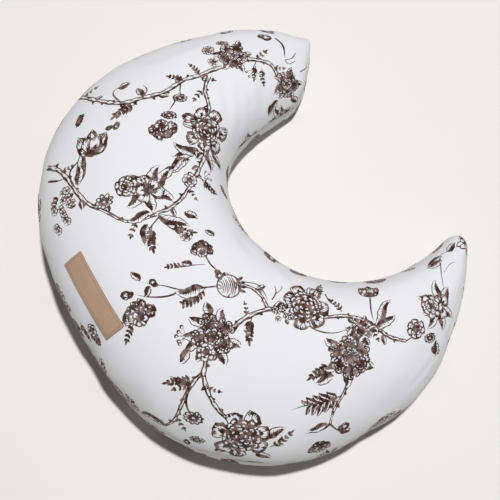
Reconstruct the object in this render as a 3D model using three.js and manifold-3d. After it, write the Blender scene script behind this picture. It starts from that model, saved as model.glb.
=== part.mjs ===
// Crescent nursing pillow: a removable printed cotton cover with a concealed
// zip on the underside, round a sewn inner casing filled with fibre.
// Millimetres. Origin at the middle of the footprint, on the surface it lies on.
// +X from tip to tip, +Y towards the open side of the crescent, +Z up.

import * as THREE from 'three';
import { mergeVertices } from 'three/addons/utils/BufferGeometryUtils.js';
import Module from 'manifold-3d';

const wasm = await Module();
wasm.setup();

// ---------------------------------------------------------------- dimensions
// Plan of the seam, from the left tip to the right tip.
const OUTER_SEAM = [
  [-189.7, 231.1], [-225.5, 186.7], [-253.9, 137.3], [-274.3, 84.1], [-285.3, 28.2],
  [-285.7, -28.8], [-273.9, -84.5], [-247.8, -135.0], [-207.4, -175.1], [-158.2, -203.7],
  [-104.4, -222.3], [-48.2, -231.9], [8.8, -235.5], [65.8, -235.3], [121.7, -224.6],
  [172.9, -199.7], [217.0, -163.7], [251.6, -118.5], [271.7, -65.3], [280.7, -9.0],
  [285.0, 47.8], [271.2, 102.8], [241.4, 151.3], [203.5, 194.0], [162.2, 233.4],
];
const INNER_SEAM = [
  [-120.9, 159.4], [-119.9, 122.4], [-116.1, 85.7], [-104.1, 50.9], [-78.4, 24.9],
  [-44.3, 11.3], [-7.5, 8.4], [28.9, 14.3], [63.0, 28.3], [93.1, 49.7],
  [117.2, 77.6], [133.5, 110.6], [141.5, 146.7], [142.5, 183.6], [137.4, 220.1],
];
const LEFT_TIP_BULGE = 8;      // how far each tip's end stands proud of a straight edge
const RIGHT_TIP_BULGE = 7;

const HEIGHT_BACK = 170;       // thickness at the middle of the back
const HEIGHT_TIP = 92;         // thickness towards the tips
const SEAM_FRACTION = 0.46;    // the side seam's height as a share of the thickness
const TOP_CROWN = 2.3;         // exponent of the upper cross-section
const BASE_CROWN = 4;          // exponent of the lower cross-section
const BASE_FLAT = 1.04;        // over 1: the underside lies flat in the middle
const END_CROWN_TOP = 7;       // how abruptly the tips close
const END_CROWN_BASE = 10;

const COVER_CLOTH = 1.2;       // cotton cover with its backing
const CASING_CLOTH = 1.0;      // inner casing
const LAYER_GAP = 0.8;
const SEAM_GAP = 0.3;

// Zip: an arc on the underside, concentric with the crescent's middle line.
const ARC_CENTRE = [0, 80.4];
const ARC_RADIUS = 192.4;
const ZIP_HALF_ANGLE = 50;     // degrees each side of the back's middle
const PULL_ROOM = 9;           // degrees of channel past the open end, for the pull tab
const SLOT_HALF = 5.8;         // half the distance between the cover's folded edges
const CHANNEL_LIFT = 4.9;      // the folded edges stand this far above the surface
const CASING_LIFT = 9.4;       // the inner casing clears the slider by this height
const CASING_ROOM = 22;        // degrees past the zip where the casing stays lifted
const CHANNEL_ROWS = [8.5, 14.5, 24];
const TAPE_Z = [6.4, 7.0];
const TAPE_FROM = 0.7;
const TAPE_TO = 13.2;
const COIL_Z = [4.7, 6.1];
const COIL_FROM = 0.7;
const COIL_TO = 2.7;
const SLIDER_ANGLE = 47;       // where the slider stands when the zip is closed

const LABEL_CENTRE = [-38.2, -191.2];
const LABEL_TURN = -3.0;       // degrees from the tip-to-tip direction
const LABEL_LENGTH = 106;
const LABEL_PLAN_WIDTH = 24.4; // 30 mm along the slope it lies on
const LABEL_STAND = 0.6;
const LABEL_THICK = 1.4;
const STITCH_MARGIN = 3.2;
const STITCH_WIDTH = 0.9;
const STITCH_THICK = 0.5;

// -------------------------------------------------------------------- plan
const seamCurve = (points) =>
  new THREE.CatmullRomCurve3(points.map(([x, y]) => new THREE.Vector3(x, y, 0)), false, 'centripetal');
const outerCurve = seamCurve(OUTER_SEAM);
const innerCurve = seamCurve(INNER_SEAM);
outerCurve.arcLengthDivisions = innerCurve.arcLengthDivisions = 800;

const rad = (deg) => (deg * Math.PI) / 180;
const lerp = (a, b, t) => a + (b - a) * t;
const clamp01 = (t) => Math.min(1, Math.max(0, t));
const smooth = (t) => { const c = clamp01(t); return c * c * (3 - 2 * c); };
const superRoot = (t, n) => Math.pow(Math.max(0, 1 - Math.pow(Math.abs(t), n)), 1 / n);

// Seam points at share u of the length, drawn in by `inset` on every side.
function seamAt(u, inset) {
  const us = clamp01(u);
  const o = outerCurve.getPointAt(us);
  const i = innerCurve.getPointAt(us);
  const across = o.clone().sub(i);
  const width = across.length();
  across.divideScalar(width);
  // along the crescent, square to the crossing line
  const along = new THREE.Vector3(-across.y, across.x, 0);
  const ahead = outerCurve.getPointAt(Math.min(1, us + 0.01)).sub(outerCurve.getPointAt(Math.max(0, us - 0.01)));
  if (ahead.dot(along) < 0) along.negate();
  const nearEnd = Math.min(us, 1 - us);
  const push = inset * Math.pow(1 - clamp01(nearEnd / 0.06), 2) * (us < 0.5 ? 1 : -1);
  o.addScaledVector(across, -inset).addScaledVector(along, push);
  i.addScaledVector(across, inset).addScaledVector(along, push);
  return { o, i, across, along, width: width - 2 * inset };
}

// Middle line: a true arc round ARC_CENTRE, easing to the middle of each tip.
const centre = new THREE.Vector3(ARC_CENTRE[0], ARC_CENTRE[1], 0);
function frameAt(u, inset) {
  const s = seamAt(u, inset);
  const mid = s.o.clone().add(s.i).multiplyScalar(0.5);
  const radial = mid.clone().sub(centre).normalize();
  const arc = centre.clone().addScaledVector(radial, ARC_RADIUS);
  const t = Math.abs(2 * u - 1);
  const ease = smooth((t - 0.62) / 0.3);
  const middle = arc.lerp(mid, ease);
  const end = Math.pow(1 - clamp01(Math.min(u, 1 - u) / 0.07), 2);
  const bulge = end * (u < 0.5 ? -LEFT_TIP_BULGE : RIGHT_TIP_BULGE);
  middle.addScaledVector(s.along, bulge);
  const angle = Math.atan2(radial.x, -radial.y);
  const outward = radial.clone().lerp(s.across, ease).normalize();
  return { ...s, mid, middle, outward, angle, half: s.width / 2 };
}
const planAt = (f, w) =>
  f.mid.clone().addScaledVector(f.across, w * f.half).addScaledVector(f.middle.clone().sub(f.mid), 1 - w * w);

const thickness = (u) => lerp(HEIGHT_BACK, HEIGHT_TIP, Math.pow(Math.abs(2 * u - 1), 1.9));
const seamHeight = (u) => SEAM_FRACTION * thickness(u);

function topPoint(u, w, inset) {
  const p = planAt(frameAt(u, inset), w);
  const rise = superRoot(w, TOP_CROWN) * superRoot(2 * u - 1, END_CROWN_TOP);
  const ze = seamHeight(u);
  p.z = ze + (thickness(u) - ze - inset) * rise;
  return p;
}
function baseHeight(u, w, inset) {
  const drop = superRoot(w, BASE_CROWN) * superRoot(2 * u - 1, END_CROWN_BASE);
  const ze = seamHeight(u);
  return Math.max(inset, ze - (ze - inset) * BASE_FLAT * drop);
}

// ------------------------------------------------------------------ lattice
// u where the middle line reaches a given angle about the arc's centre
function uAtAngle(deg) {
  let lo = 0.02, hi = 0.98;
  for (let k = 0; k < 50; k++) {
    const m = (lo + hi) / 2;
    if (frameAt(m, 0).angle < rad(deg)) lo = m; else hi = m;
  }
  return (lo + hi) / 2;
}
const OPEN_END = -(ZIP_HALF_ANGLE + PULL_ROOM);
const CLOSED_END = ZIP_HALF_ANGLE + 2;
const END_STEP = 3;
const uA = uAtAngle(OPEN_END - END_STEP), uB = uAtAngle(OPEN_END);
const uC = uAtAngle(CLOSED_END), uD = uAtAngle(CLOSED_END + END_STEP);
const spanLine = (a, b, n) => Array.from({ length: n }, (_, k) => lerp(a, b, k / n));
const TIP_LINE = [0, 0.018, 0.06, 0.13, 0.23, 0.36, 0.51, 0.67, 0.835];
const U_LINES = [
  ...TIP_LINE.map((t) => uA * t),
  uA,
  ...spanLine(uB, uC, 15),
  uC,
  uD,
  ...TIP_LINE.map((t) => 1 - (1 - uD) * t).reverse(),
];
const OUTER_SHARES = [0.46, 0.72, 0.89, 0.975, 1];

// Row positions across one half, from the middle line to the seam (0 to 1).
// The first four follow the zip at fixed distances, the rest share the width.
function halfRows(f, edge) {
  const near = [edge, ...CHANNEL_ROWS].map((d, k) => Math.min(d, f.half * [0.05, 0.12, 0.2, 0.3][k]));
  if (near[0] > edge) near[0] = edge;
  return near;
}
function rowPlan(f, side, row, edge) {
  const near = halfRows(f, edge);
  if (row < near.length) {
    return { p: f.middle.clone().addScaledVector(f.outward, side * near[row]), w: (side * near[row]) / f.half, near: near[row] };
  }
  const w4 = near[3] / f.half;
  const w = w4 + (1 - w4) * ((OUTER_SHARES[row - near.length] - 0.25) / 0.75);
  const p = planAt(f, side * w);
  const at4 = planAt(f, side * w4);
  const want = f.middle.clone().addScaledVector(f.outward, side * near[3]);
  const fade = Math.pow((1 - w) / (1 - w4), 2);
  p.addScaledVector(want.sub(at4), fade);
  return { p, w: side * w, near: Infinity };
}
const ROWS = 4 + OUTER_SHARES.length;

const channelShare = (deg) =>
  deg < OPEN_END ? 1 - smooth((OPEN_END - deg) / END_STEP) : 1 - smooth((deg - CLOSED_END) / END_STEP);
const casingShare = (deg) => 1 - smooth((Math.abs(deg) - (ZIP_HALF_ANGLE + CASING_ROOM)) / 8);

// Underside of the cover: the cloth rises to the zip's folded edges.
function coverBase(u, side, row, inset) {
  const f = frameAt(u, inset);
  const deg = (f.angle * 180) / Math.PI;
  const share = Math.abs(2 * u - 1) < 0.7 ? channelShare(deg) : 0;
  const edge = lerp(SEAM_GAP / 2, SLOT_HALF, share > 0.99 ? 1 : 0);
  const { p, w } = rowPlan(f, side, row, edge);
  const lift = row <= 1 ? CHANNEL_LIFT * share : 0;
  p.z = Math.max(baseHeight(u, w, inset), lift + inset);
  return p;
}
// Underside of the inner casing and the filling: lifted clear of the slider.
function innerBase(u, side, row, inset) {
  const f = frameAt(u, inset);
  const deg = (f.angle * 180) / Math.PI;
  const share = Math.abs(2 * u - 1) < 0.8 ? casingShare(deg) : 0;
  const { p, w } = rowPlan(f, side, row, 0);
  const lift = row <= 2 ? (CASING_LIFT - COVER_CLOTH - LAYER_GAP) * share : 0;
  p.z = Math.max(baseHeight(u, w, inset), lift + inset);
  return p;
}

// ------------------------------------------------------------- mesh helpers
// A closed body from a grid's outer and inner faces; both are [i][j] points.
function shellFrom(outside, inside, flip) {
  const n = outside.length, m = outside[0].length;
  const pos = [];
  for (const face of [outside, inside]) for (const line of face) for (const p of line) pos.push(p.x, p.y, p.z);
  const A = (i, j) => i * m + j, B = (i, j) => n * m + i * m + j;
  const idx = [];
  const tri = (a, b, c) => (flip ? idx.push(a, c, b) : idx.push(a, b, c));
  const quad = (a, b, c, d) => { tri(a, b, c); tri(a, c, d); };
  for (let i = 0; i < n - 1; i++) for (let j = 0; j < m - 1; j++) {
    quad(A(i, j), A(i + 1, j), A(i + 1, j + 1), A(i, j + 1));
    quad(B(i, j), B(i, j + 1), B(i + 1, j + 1), B(i + 1, j));
  }
  for (let i = 0; i < n - 1; i++) {
    quad(A(i, 0), B(i, 0), B(i + 1, 0), A(i + 1, 0));
    quad(A(i, m - 1), A(i + 1, m - 1), B(i + 1, m - 1), B(i, m - 1));
  }
  for (let j = 0; j < m - 1; j++) {
    quad(A(0, j), A(0, j + 1), B(0, j + 1), B(0, j));
    quad(A(n - 1, j), B(n - 1, j), B(n - 1, j + 1), A(n - 1, j + 1));
  }
  return finished(pos, idx);
}
// Builds the geometry, turning it inside out if its volume comes out negative.
function finished(pos, idx) {
  let g = new THREE.BufferGeometry();
  g.setAttribute('position', new THREE.Float32BufferAttribute(pos, 3));
  g.setIndex(idx);
  g = mergeVertices(g, 1e-4);
  const p = g.getAttribute('position'), ix = g.index.array;
  const keep = [];
  let volume = 0;
  const a = new THREE.Vector3(), b = new THREE.Vector3(), c = new THREE.Vector3();
  for (let k = 0; k < ix.length; k += 3) {
    if (ix[k] === ix[k + 1] || ix[k + 1] === ix[k + 2] || ix[k] === ix[k + 2]) continue;
    keep.push(ix[k], ix[k + 1], ix[k + 2]);
    a.fromBufferAttribute(p, ix[k]); b.fromBufferAttribute(p, ix[k + 1]); c.fromBufferAttribute(p, ix[k + 2]);
    volume += a.dot(b.cross(c));
  }
  if (volume < 0) for (let k = 0; k < keep.length; k += 3) [keep[k + 1], keep[k + 2]] = [keep[k + 2], keep[k + 1]];
  g.setIndex(keep);
  g.computeVertexNormals();
  return g;
}
const toSolid = (geometry) => {
  const g = geometry.clone();
  for (const name of Object.keys(g.attributes)) if (name !== 'position') g.deleteAttribute(name);
  const m = mergeVertices(g, 1e-4);
  return new wasm.Manifold(new wasm.Mesh({
    numProp: 3,
    vertProperties: Float32Array.from(m.getAttribute('position').array),
    triVerts: Uint32Array.from(m.index.array),
  }));
};
const fromSolid = (solid) => {
  const m = solid.getMesh();
  return finished(Array.from(m.vertProperties), Array.from(m.triVerts));
};
const union = (...list) => fromSolid(list.map(toSolid).reduce((a, b) => a.add(b)));
const cut = (body, ...tools) => fromSolid(tools.map(toSolid).reduce((a, b) => a.subtract(b), toSolid(body)));

// A bar along the zip's arc with section [[distance outward, height], ...].
function arcBar(from, to, steps, section) {
  const pos = [], idx = [], m = section.length;
  for (let k = 0; k <= steps; k++) {
    const t = rad(lerp(from, to, k / steps));
    for (const [d, z] of section) {
      const r = ARC_RADIUS + d;
      pos.push(ARC_CENTRE[0] + r * Math.sin(t), ARC_CENTRE[1] - r * Math.cos(t), z);
    }
  }
  for (let k = 0; k < steps; k++) for (let j = 0; j < m; j++) {
    const a = k * m + j, b = k * m + ((j + 1) % m), c = a + m, d = b + m;
    idx.push(a, b, d, a, d, c);
  }
  for (let j = 1; j < m - 1; j++) idx.push(0, j + 1, j, steps * m, steps * m + j, steps * m + j + 1);
  return finished(pos, idx);
}
const box = (x0, x1, y0, y1, z0, z1) => {
  const g = new THREE.BoxGeometry(x1 - x0, y1 - y0, z1 - z0);
  g.translate((x0 + x1) / 2, (y0 + y1) / 2, (z0 + z1) / 2);
  return g;
};

// ---------------------------------------------------------------- materials
const material = (color, roughness, metalness = 0) => new THREE.MeshStandardMaterial({ color, roughness, metalness });
const printedCotton = material(0xe9e8ea, 0.85);
const labelLeather = material(0xb99b85, 0.6);
const labelThread = material(0xc9b09b, 0.7);
const zipTape = material(0xeeeeec, 0.85);
const zipCoil = material(0xf1f1ef, 0.45);
const zipMetal = material(0xb9bbbd, 0.3, 1);
const careSatin = material(0xf7f7f5, 0.5);
const casingCloth = material(0xf2f1ee, 0.9);
const fibre = material(0xfafafa, 0.95);

const pillow = new THREE.Group();
const add = (name, geometry, mat, parent = pillow) => {
  const mesh = new THREE.Mesh(geometry, mat);
  mesh.name = name;
  parent.add(mesh);
  return mesh;
};

// ------------------------------------------------------------------- cover
const W_TOP = (() => {
  // the same lines as the underside, so that every layer nests
  const line = [];
  for (let r = ROWS - 1; r >= 0; r--) line.push([-1, r]);
  for (let r = 1; r < ROWS; r++) line.push([1, r]);
  return line;
})();
function topGrid(inset, edgeZ) {
  return U_LINES.map((u) => W_TOP.map(([side, row]) => {
    const f = frameAt(u, inset);
    const { w } = rowPlan(f, side, row, 0);
    const p = topPoint(u, w, inset);
    const rim = row === ROWS - 1 || u === U_LINES[0] || u === U_LINES[U_LINES.length - 1];
    if (rim) p.z = seamHeight(u) + edgeZ; else p.z = Math.max(p.z, seamHeight(u) + edgeZ);
    return p;
  }));
}
const rimmed = (p, u, row, edgeZ) => {
  const rim = row === ROWS - 1 || u === U_LINES[0] || u === U_LINES[U_LINES.length - 1];
  if (rim) p.z = seamHeight(u) - edgeZ; else p.z = Math.min(p.z, seamHeight(u) - edgeZ);
  return p;
};
const baseHalf = (side, inset) => U_LINES.map((u) =>
  Array.from({ length: ROWS }, (_, row) => rimmed(coverBase(u, side, row, inset), u, row, SEAM_GAP / 2)));
const baseWhole = (inset, edgeZ) => U_LINES.map((u) =>
  W_TOP.map(([side, row]) => rimmed(innerBase(u, side, row, inset), u, row, edgeZ)));

add('cover_top_panel', shellFrom(topGrid(0, SEAM_GAP / 2), topGrid(COVER_CLOTH, SEAM_GAP / 2)), printedCotton);
add('cover_base_outer_panel', shellFrom(baseHalf(1, 0), baseHalf(1, COVER_CLOTH)), printedCotton);
add('cover_base_inner_panel', shellFrom(baseHalf(-1, 0), baseHalf(-1, COVER_CLOTH)), printedCotton);

// ------------------------------------------------------------ inner cushion
const casingAt = COVER_CLOTH + LAYER_GAP;
const casingIn = casingAt + CASING_CLOTH;
add('casing_top_panel', shellFrom(topGrid(casingAt, SEAM_GAP / 2), topGrid(casingIn, SEAM_GAP / 2)), casingCloth);
add('casing_base_panel', shellFrom(baseWhole(casingAt, SEAM_GAP / 2), baseWhole(casingIn, SEAM_GAP / 2)), casingCloth);

const fibreAt = casingIn + LAYER_GAP;
add('fibre_filling', shellFrom(topGrid(fibreAt, 0), baseWhole(fibreAt, 0)), fibre);

// ------------------------------------------------------------------- label
// A leather patch on the outer wall of the back, with a line of stitching.
function standOff(u, w, stand) {
  const p = topPoint(u, w, 0);
  const du = topPoint(u + 0.002, w, 0).sub(topPoint(u - 0.002, w, 0));
  const dw = topPoint(u, w + 0.004, 0).sub(topPoint(u, w - 0.004, 0));
  const normal = du.cross(dw).normalize();
  if (normal.z < 0) normal.negate();
  return p.addScaledVector(normal, stand);
}
// The seam share and crossing position under a plan point, by Newton's method.
function underPlan(x, y) {
  let u = 0.46, w = 0.65;
  for (let k = 0; k < 12; k++) {
    const p = planAt(frameAt(u, 0), w), e = 1e-4;
    const pu = planAt(frameAt(u + e, 0), w).sub(p).divideScalar(e);
    const pw = planAt(frameAt(u, 0), w + e).sub(p).divideScalar(e);
    const dx = x - p.x, dy = y - p.y, det = pu.x * pw.y - pu.y * pw.x;
    u += (dx * pw.y - dy * pw.x) / det;
    w += (pu.x * dy - pu.y * dx) / det;
  }
  return [u, w];
}
const labelCos = Math.cos(rad(LABEL_TURN)), labelSin = Math.sin(rad(LABEL_TURN));
// a along the label, b up its width, both in plan from its centre
const labelPoint = (a, b, stand) => standOff(...underPlan(
  LABEL_CENTRE[0] + a * labelCos - b * labelSin, LABEL_CENTRE[1] + a * labelSin + b * labelCos), stand);
{
  const la = LABEL_LENGTH / 2, lb = LABEL_PLAN_WIDTH / 2, n = 10, m = 4;
  const grid = (stand) => Array.from({ length: n + 1 }, (_, i) => Array.from({ length: m + 1 }, (_, j) =>
    labelPoint(lerp(-la, la, i / n), lerp(-lb, lb, j / m), stand)));
  add('label_patch', shellFrom(grid(LABEL_STAND + LABEL_THICK), grid(LABEL_STAND)), labelLeather);

  // the thread runs round the patch a little inside its edge, as one closed loop
  const slope = LABEL_PLAN_WIDTH / 30;
  const ring = (inset) => {
    const ha = la - inset, hb = lb - inset * slope, pts = [], nu = 12, nw = 4;
    for (let k = 0; k < nu; k++) pts.push([lerp(-ha, ha, k / nu), -hb]);
    for (let k = 0; k < nw; k++) pts.push([ha, lerp(-hb, hb, k / nw)]);
    for (let k = 0; k < nu; k++) pts.push([lerp(ha, -ha, k / nu), hb]);
    for (let k = 0; k < nw; k++) pts.push([-ha, lerp(hb, -hb, k / nw)]);
    return pts;
  };
  const base = LABEL_STAND + LABEL_THICK + 0.35;
  const outR = ring(STITCH_MARGIN), inR = ring(STITCH_MARGIN + STITCH_WIDTH), count = outR.length, loop = [], idx = [];
  for (const [list, s] of [[outR, base], [outR, base + STITCH_THICK], [inR, base + STITCH_THICK], [inR, base]])
    for (const [a, b] of list) { const p = labelPoint(a, b, s); loop.push(p.x, p.y, p.z); }
  for (let r = 0; r < 4; r++) for (let k = 0; k < count; k++) {
    const a = r * count + k, b = r * count + ((k + 1) % count);
    const c = ((r + 1) % 4) * count + k, d = ((r + 1) % 4) * count + ((k + 1) % count);
    idx.push(a, b, d, a, d, c);
  }
  add('label_stitching', finished(loop, idx), labelThread);
}

// --------------------------------------------------------------------- zip
const Z = ZIP_HALF_ANGLE;
for (const [name, side] of [['outer', 1], ['inner', -1]]) {
  add(`zip_tape_${name}`, arcBar(-Z - 1, Z + 1, 34, [
    [side * TAPE_FROM, TAPE_Z[0]], [side * TAPE_TO, TAPE_Z[0]], [side * TAPE_TO, TAPE_Z[1]], [side * TAPE_FROM, TAPE_Z[1]],
  ]), zipTape);
  const mz = (COIL_Z[0] + COIL_Z[1]) / 2;
  add(`zip_coil_${name}`, arcBar(-Z + 2.2, Z - 1.2, 34, [
    [side * COIL_FROM, mz], [side * (COIL_FROM + 0.5), COIL_Z[0]], [side * (COIL_TO - 0.5), COIL_Z[0]],
    [side * COIL_TO, mz], [side * (COIL_TO - 0.5), COIL_Z[1]], [side * (COIL_FROM + 0.5), COIL_Z[1]],
  ]), zipCoil);
  add(`zip_top_stop_${name}`, arcBar(Z - 1.0, Z - 0.2, 2, [
    [side * 0.9, 4.5], [side * 3.2, 4.5], [side * 3.2, 6.1], [side * 0.9, 6.1],
  ]), zipMetal);
}
add('zip_bottom_stop', arcBar(-Z + 0.8, -Z + 2.0, 2, [[-3.2, 4.5], [3.2, 4.5], [3.2, 6.1], [-3.2, 6.1]]), zipMetal);

// Slider, in its own axes: x outward from the arc's centre, y along the zip
// towards the closed end, z up. Two plates joined by a thin wedge between the
// coils, two flanges each, and two lugs with the pin that the pull tab turns on.
const PIN_Y = -2.2, PIN_Z = 1.75, PIN_R = 0.45;
const sliderFrame = new THREE.Group();
sliderFrame.position.set(
  ARC_CENTRE[0] + ARC_RADIUS * Math.sin(rad(SLIDER_ANGLE)),
  ARC_CENTRE[1] - ARC_RADIUS * Math.cos(rad(SLIDER_ANGLE)), 0);
sliderFrame.rotation.z = rad(SLIDER_ANGLE - 90);
pillow.add(sliderFrame);

const plateOutline = (half, nose) => {
  const s = new THREE.Shape();
  s.moveTo(-half, -3.6); s.lineTo(-half, 2.6); s.quadraticCurveTo(-half, 4.6, -nose, 4.8);
  s.lineTo(nose, 4.8); s.quadraticCurveTo(half, 4.6, half, 2.6); s.lineTo(half, -3.6);
  s.quadraticCurveTo(half, -4.6, half - 1, -4.6); s.lineTo(-half + 1, -4.6); s.quadraticCurveTo(-half, -4.6, -half, -3.6);
  return s;
};
const slab = (shape, z0, z1) => {
  const g = new THREE.ExtrudeGeometry(shape, { depth: z1 - z0, bevelEnabled: false, curveSegments: 5 });
  g.translate(0, 0, z0);
  return g;
};
const rod = (r, x0, x1, y, z, sides = 16) => {
  const g = new THREE.CylinderGeometry(r, r, x1 - x0, sides);
  g.rotateZ(Math.PI / 2);
  g.translate((x0 + x1) / 2, y, z);
  return g;
};
const lug = (x0, x1) => union(
  rod(1.2, x0, x1, PIN_Y, PIN_Z, 16),
  box(x0, x1, PIN_Y - 1.2, PIN_Y + 1.2, PIN_Z, 3.5));
add('zip_slider', union(
  slab(plateOutline(4.6, 2.2), 3.4, 4.3),
  slab(plateOutline(4.6, 2.2), 7.5, 8.5),
  box(-0.35, 0.35, 0.6, 4.4, 4.2, 7.6),
  box(3.5, 4.6, -3.4, 2.4, 4.2, 5.9), box(-4.6, -3.5, -3.4, 2.4, 4.2, 5.9),
  lug(2.3, 3.1), lug(-3.1, -2.3),
  rod(PIN_R, -2.7, 2.7, PIN_Y, PIN_Z, 16),
), zipMetal, sliderFrame);

// Pull tab: a knuckle round the pin and a tapered blade with a round hole.
{
  const blade = new THREE.Shape();
  blade.moveTo(-1.7, PIN_Y - 0.9); blade.lineTo(-1.7, PIN_Y - 4); blade.quadraticCurveTo(-3.4, PIN_Y - 9, -3.4, PIN_Y - 14);
  blade.lineTo(-3.4, PIN_Y - 20.5); blade.quadraticCurveTo(-3.4, PIN_Y - 24, 0, PIN_Y - 24);
  blade.quadraticCurveTo(3.4, PIN_Y - 24, 3.4, PIN_Y - 20.5); blade.lineTo(3.4, PIN_Y - 14);
  blade.quadraticCurveTo(3.4, PIN_Y - 9, 1.7, PIN_Y - 4); blade.lineTo(1.7, PIN_Y - 0.9); blade.lineTo(-1.7, PIN_Y - 0.9);
  const hole = new THREE.CylinderGeometry(1.5, 1.5, 4, 20);
  hole.rotateX(Math.PI / 2);
  hole.translate(0, PIN_Y - 20, PIN_Z);
  const body = union(rod(1.3, -1.9, 1.9, PIN_Y, PIN_Z, 18), slab(blade, PIN_Z - 0.5, PIN_Z + 0.5));
  add('zip_pull_tab', cut(body, rod(0.8, -3, 3, PIN_Y, PIN_Z, 16), hole), zipMetal, sliderFrame);
}

// Care label: a folded satin tab inside the cover, past the closed end.
add('care_label', arcBar(ZIP_HALF_ANGLE + 3, ZIP_HALF_ANGLE + 12, 4, [
  [-10, 7.4], [10, 7.4], [10, 8.0], [-10, 8.0],
]), careSatin);

// the footprint's middle comes to the origin
pillow.position.set(1.12, 0.51, 0);

export default pillow;
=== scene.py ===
"""Crescent nursing pillow: its looks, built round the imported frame. Lengths in the tables below are millimetres."""

import math

import bpy
import numpy as np
from mathutils import Matrix, Vector, geometry


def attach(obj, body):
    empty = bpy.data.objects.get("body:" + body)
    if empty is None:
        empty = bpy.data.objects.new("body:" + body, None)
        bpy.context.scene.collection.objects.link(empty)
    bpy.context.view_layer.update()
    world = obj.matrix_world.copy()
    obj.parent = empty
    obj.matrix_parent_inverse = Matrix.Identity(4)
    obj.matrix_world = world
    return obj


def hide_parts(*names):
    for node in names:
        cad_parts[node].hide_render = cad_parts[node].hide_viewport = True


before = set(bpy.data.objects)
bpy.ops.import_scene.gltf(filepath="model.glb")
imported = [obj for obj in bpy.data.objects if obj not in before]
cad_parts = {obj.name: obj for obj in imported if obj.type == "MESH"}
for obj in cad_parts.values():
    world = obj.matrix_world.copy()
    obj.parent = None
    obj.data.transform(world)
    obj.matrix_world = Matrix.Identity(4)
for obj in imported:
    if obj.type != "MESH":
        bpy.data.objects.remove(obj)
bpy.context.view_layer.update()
MM = 0.001

# ------------------------------------------------------------------ the shape
OUTER_SEAM = np.array([
    (-189.7, 231.1), (-225.5, 186.7), (-253.9, 137.3), (-274.3, 84.1), (-285.3, 28.2),
    (-285.7, -28.8), (-273.9, -84.5), (-247.8, -135.0), (-207.4, -175.1), (-158.2, -203.7),
    (-104.4, -222.3), (-48.2, -231.9), (8.8, -235.5), (65.8, -235.3), (121.7, -224.6),
    (172.9, -199.7), (217.0, -163.7), (251.6, -118.5), (271.7, -65.3), (280.7, -9.0),
    (285.0, 47.8), (271.2, 102.8), (241.4, 151.3), (203.5, 194.0), (162.2, 233.4)])
INNER_SEAM = np.array([
    (-120.9, 159.4), (-119.9, 122.4), (-116.1, 85.7), (-104.1, 50.9), (-78.4, 24.9),
    (-44.3, 11.3), (-7.5, 8.4), (28.9, 14.3), (63.0, 28.3), (93.1, 49.7),
    (117.2, 77.6), (133.5, 110.6), (141.5, 146.7), (142.5, 183.6), (137.4, 220.1)])
SHIFT = np.array([1.12, 0.51])
ARC_CENTRE = np.array([0.0, 80.4])
ARC_RADIUS = 192.4
HEIGHT_BACK, HEIGHT_TIP, SEAM_FRACTION = 170.0, 92.0, 0.46
TOP_CROWN, BASE_CROWN, BASE_FLAT = 2.3, 4.0, 1.04
END_TOP, END_BASE = 7.0, 10.0
ZIP_HALF, PULL_ROOM, SLOT_HALF, LIFT = 50.0, 9.0, 5.8, 4.9
SLIDER_ANGLE = 47.0


def smooth01(t):
    t = np.clip(t, 0, 1)
    return t * t * (3 - 2 * t)


def seam_curve(points, n=2001, sigma=11.0):
    """An even, rounded run of n points through a centripetal spline of these points."""
    p = np.vstack([2 * points[0] - points[1], points, 2 * points[-1] - points[-2]])
    out = []
    for k in range(1, len(p) - 2):
        x0, x1, x2, x3 = p[k - 1 : k + 3]
        d0, d1, d2 = (max(np.hypot(*(b - a)) ** 0.5, 1e-6) for a, b in ((x0, x1), (x1, x2), (x2, x3)))
        t1 = ((x1 - x0) / d0 - (x2 - x0) / (d0 + d1) + (x2 - x1) / d1) * d1
        t2 = ((x2 - x1) / d1 - (x3 - x1) / (d1 + d2) + (x3 - x2) / d2) * d1
        t = np.linspace(0, 1, 120, endpoint=False)[:, None]
        out.append((2 * t**3 - 3 * t**2 + 1) * x1 + (t**3 - 2 * t**2 + t) * t1 + (-2 * t**3 + 3 * t**2) * x2 + (t**3 - t**2) * t2)
    out = np.vstack([*out, points[-1:]])

    def even(q):
        s = np.r_[0, np.cumsum(np.hypot(*np.diff(q, axis=0).T))]
        at = np.linspace(0, s[-1], n)
        return np.stack([np.interp(at, s, q[:, 0]), np.interp(at, s, q[:, 1])], 1)

    out = even(out)
    r = int(3 * sigma)
    kernel = np.exp(-0.5 * (np.arange(-r, r + 1) / sigma) ** 2)
    kernel /= kernel.sum()
    pad = np.vstack([2 * out[0] - out[r:0:-1], out, 2 * out[-1] - out[-2 : -r - 2 : -1]])
    out = np.stack([np.convolve(pad[:, c], kernel, "valid") for c in (0, 1)], 1)
    return even(out)


OUT_LINE, IN_LINE = seam_curve(OUTER_SEAM), seam_curve(INNER_SEAM)


def on_line(line, u):
    at = np.linspace(0, 1, len(line))
    return np.stack([np.interp(u, at, line[:, 0]), np.interp(u, at, line[:, 1])], -1)


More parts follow.
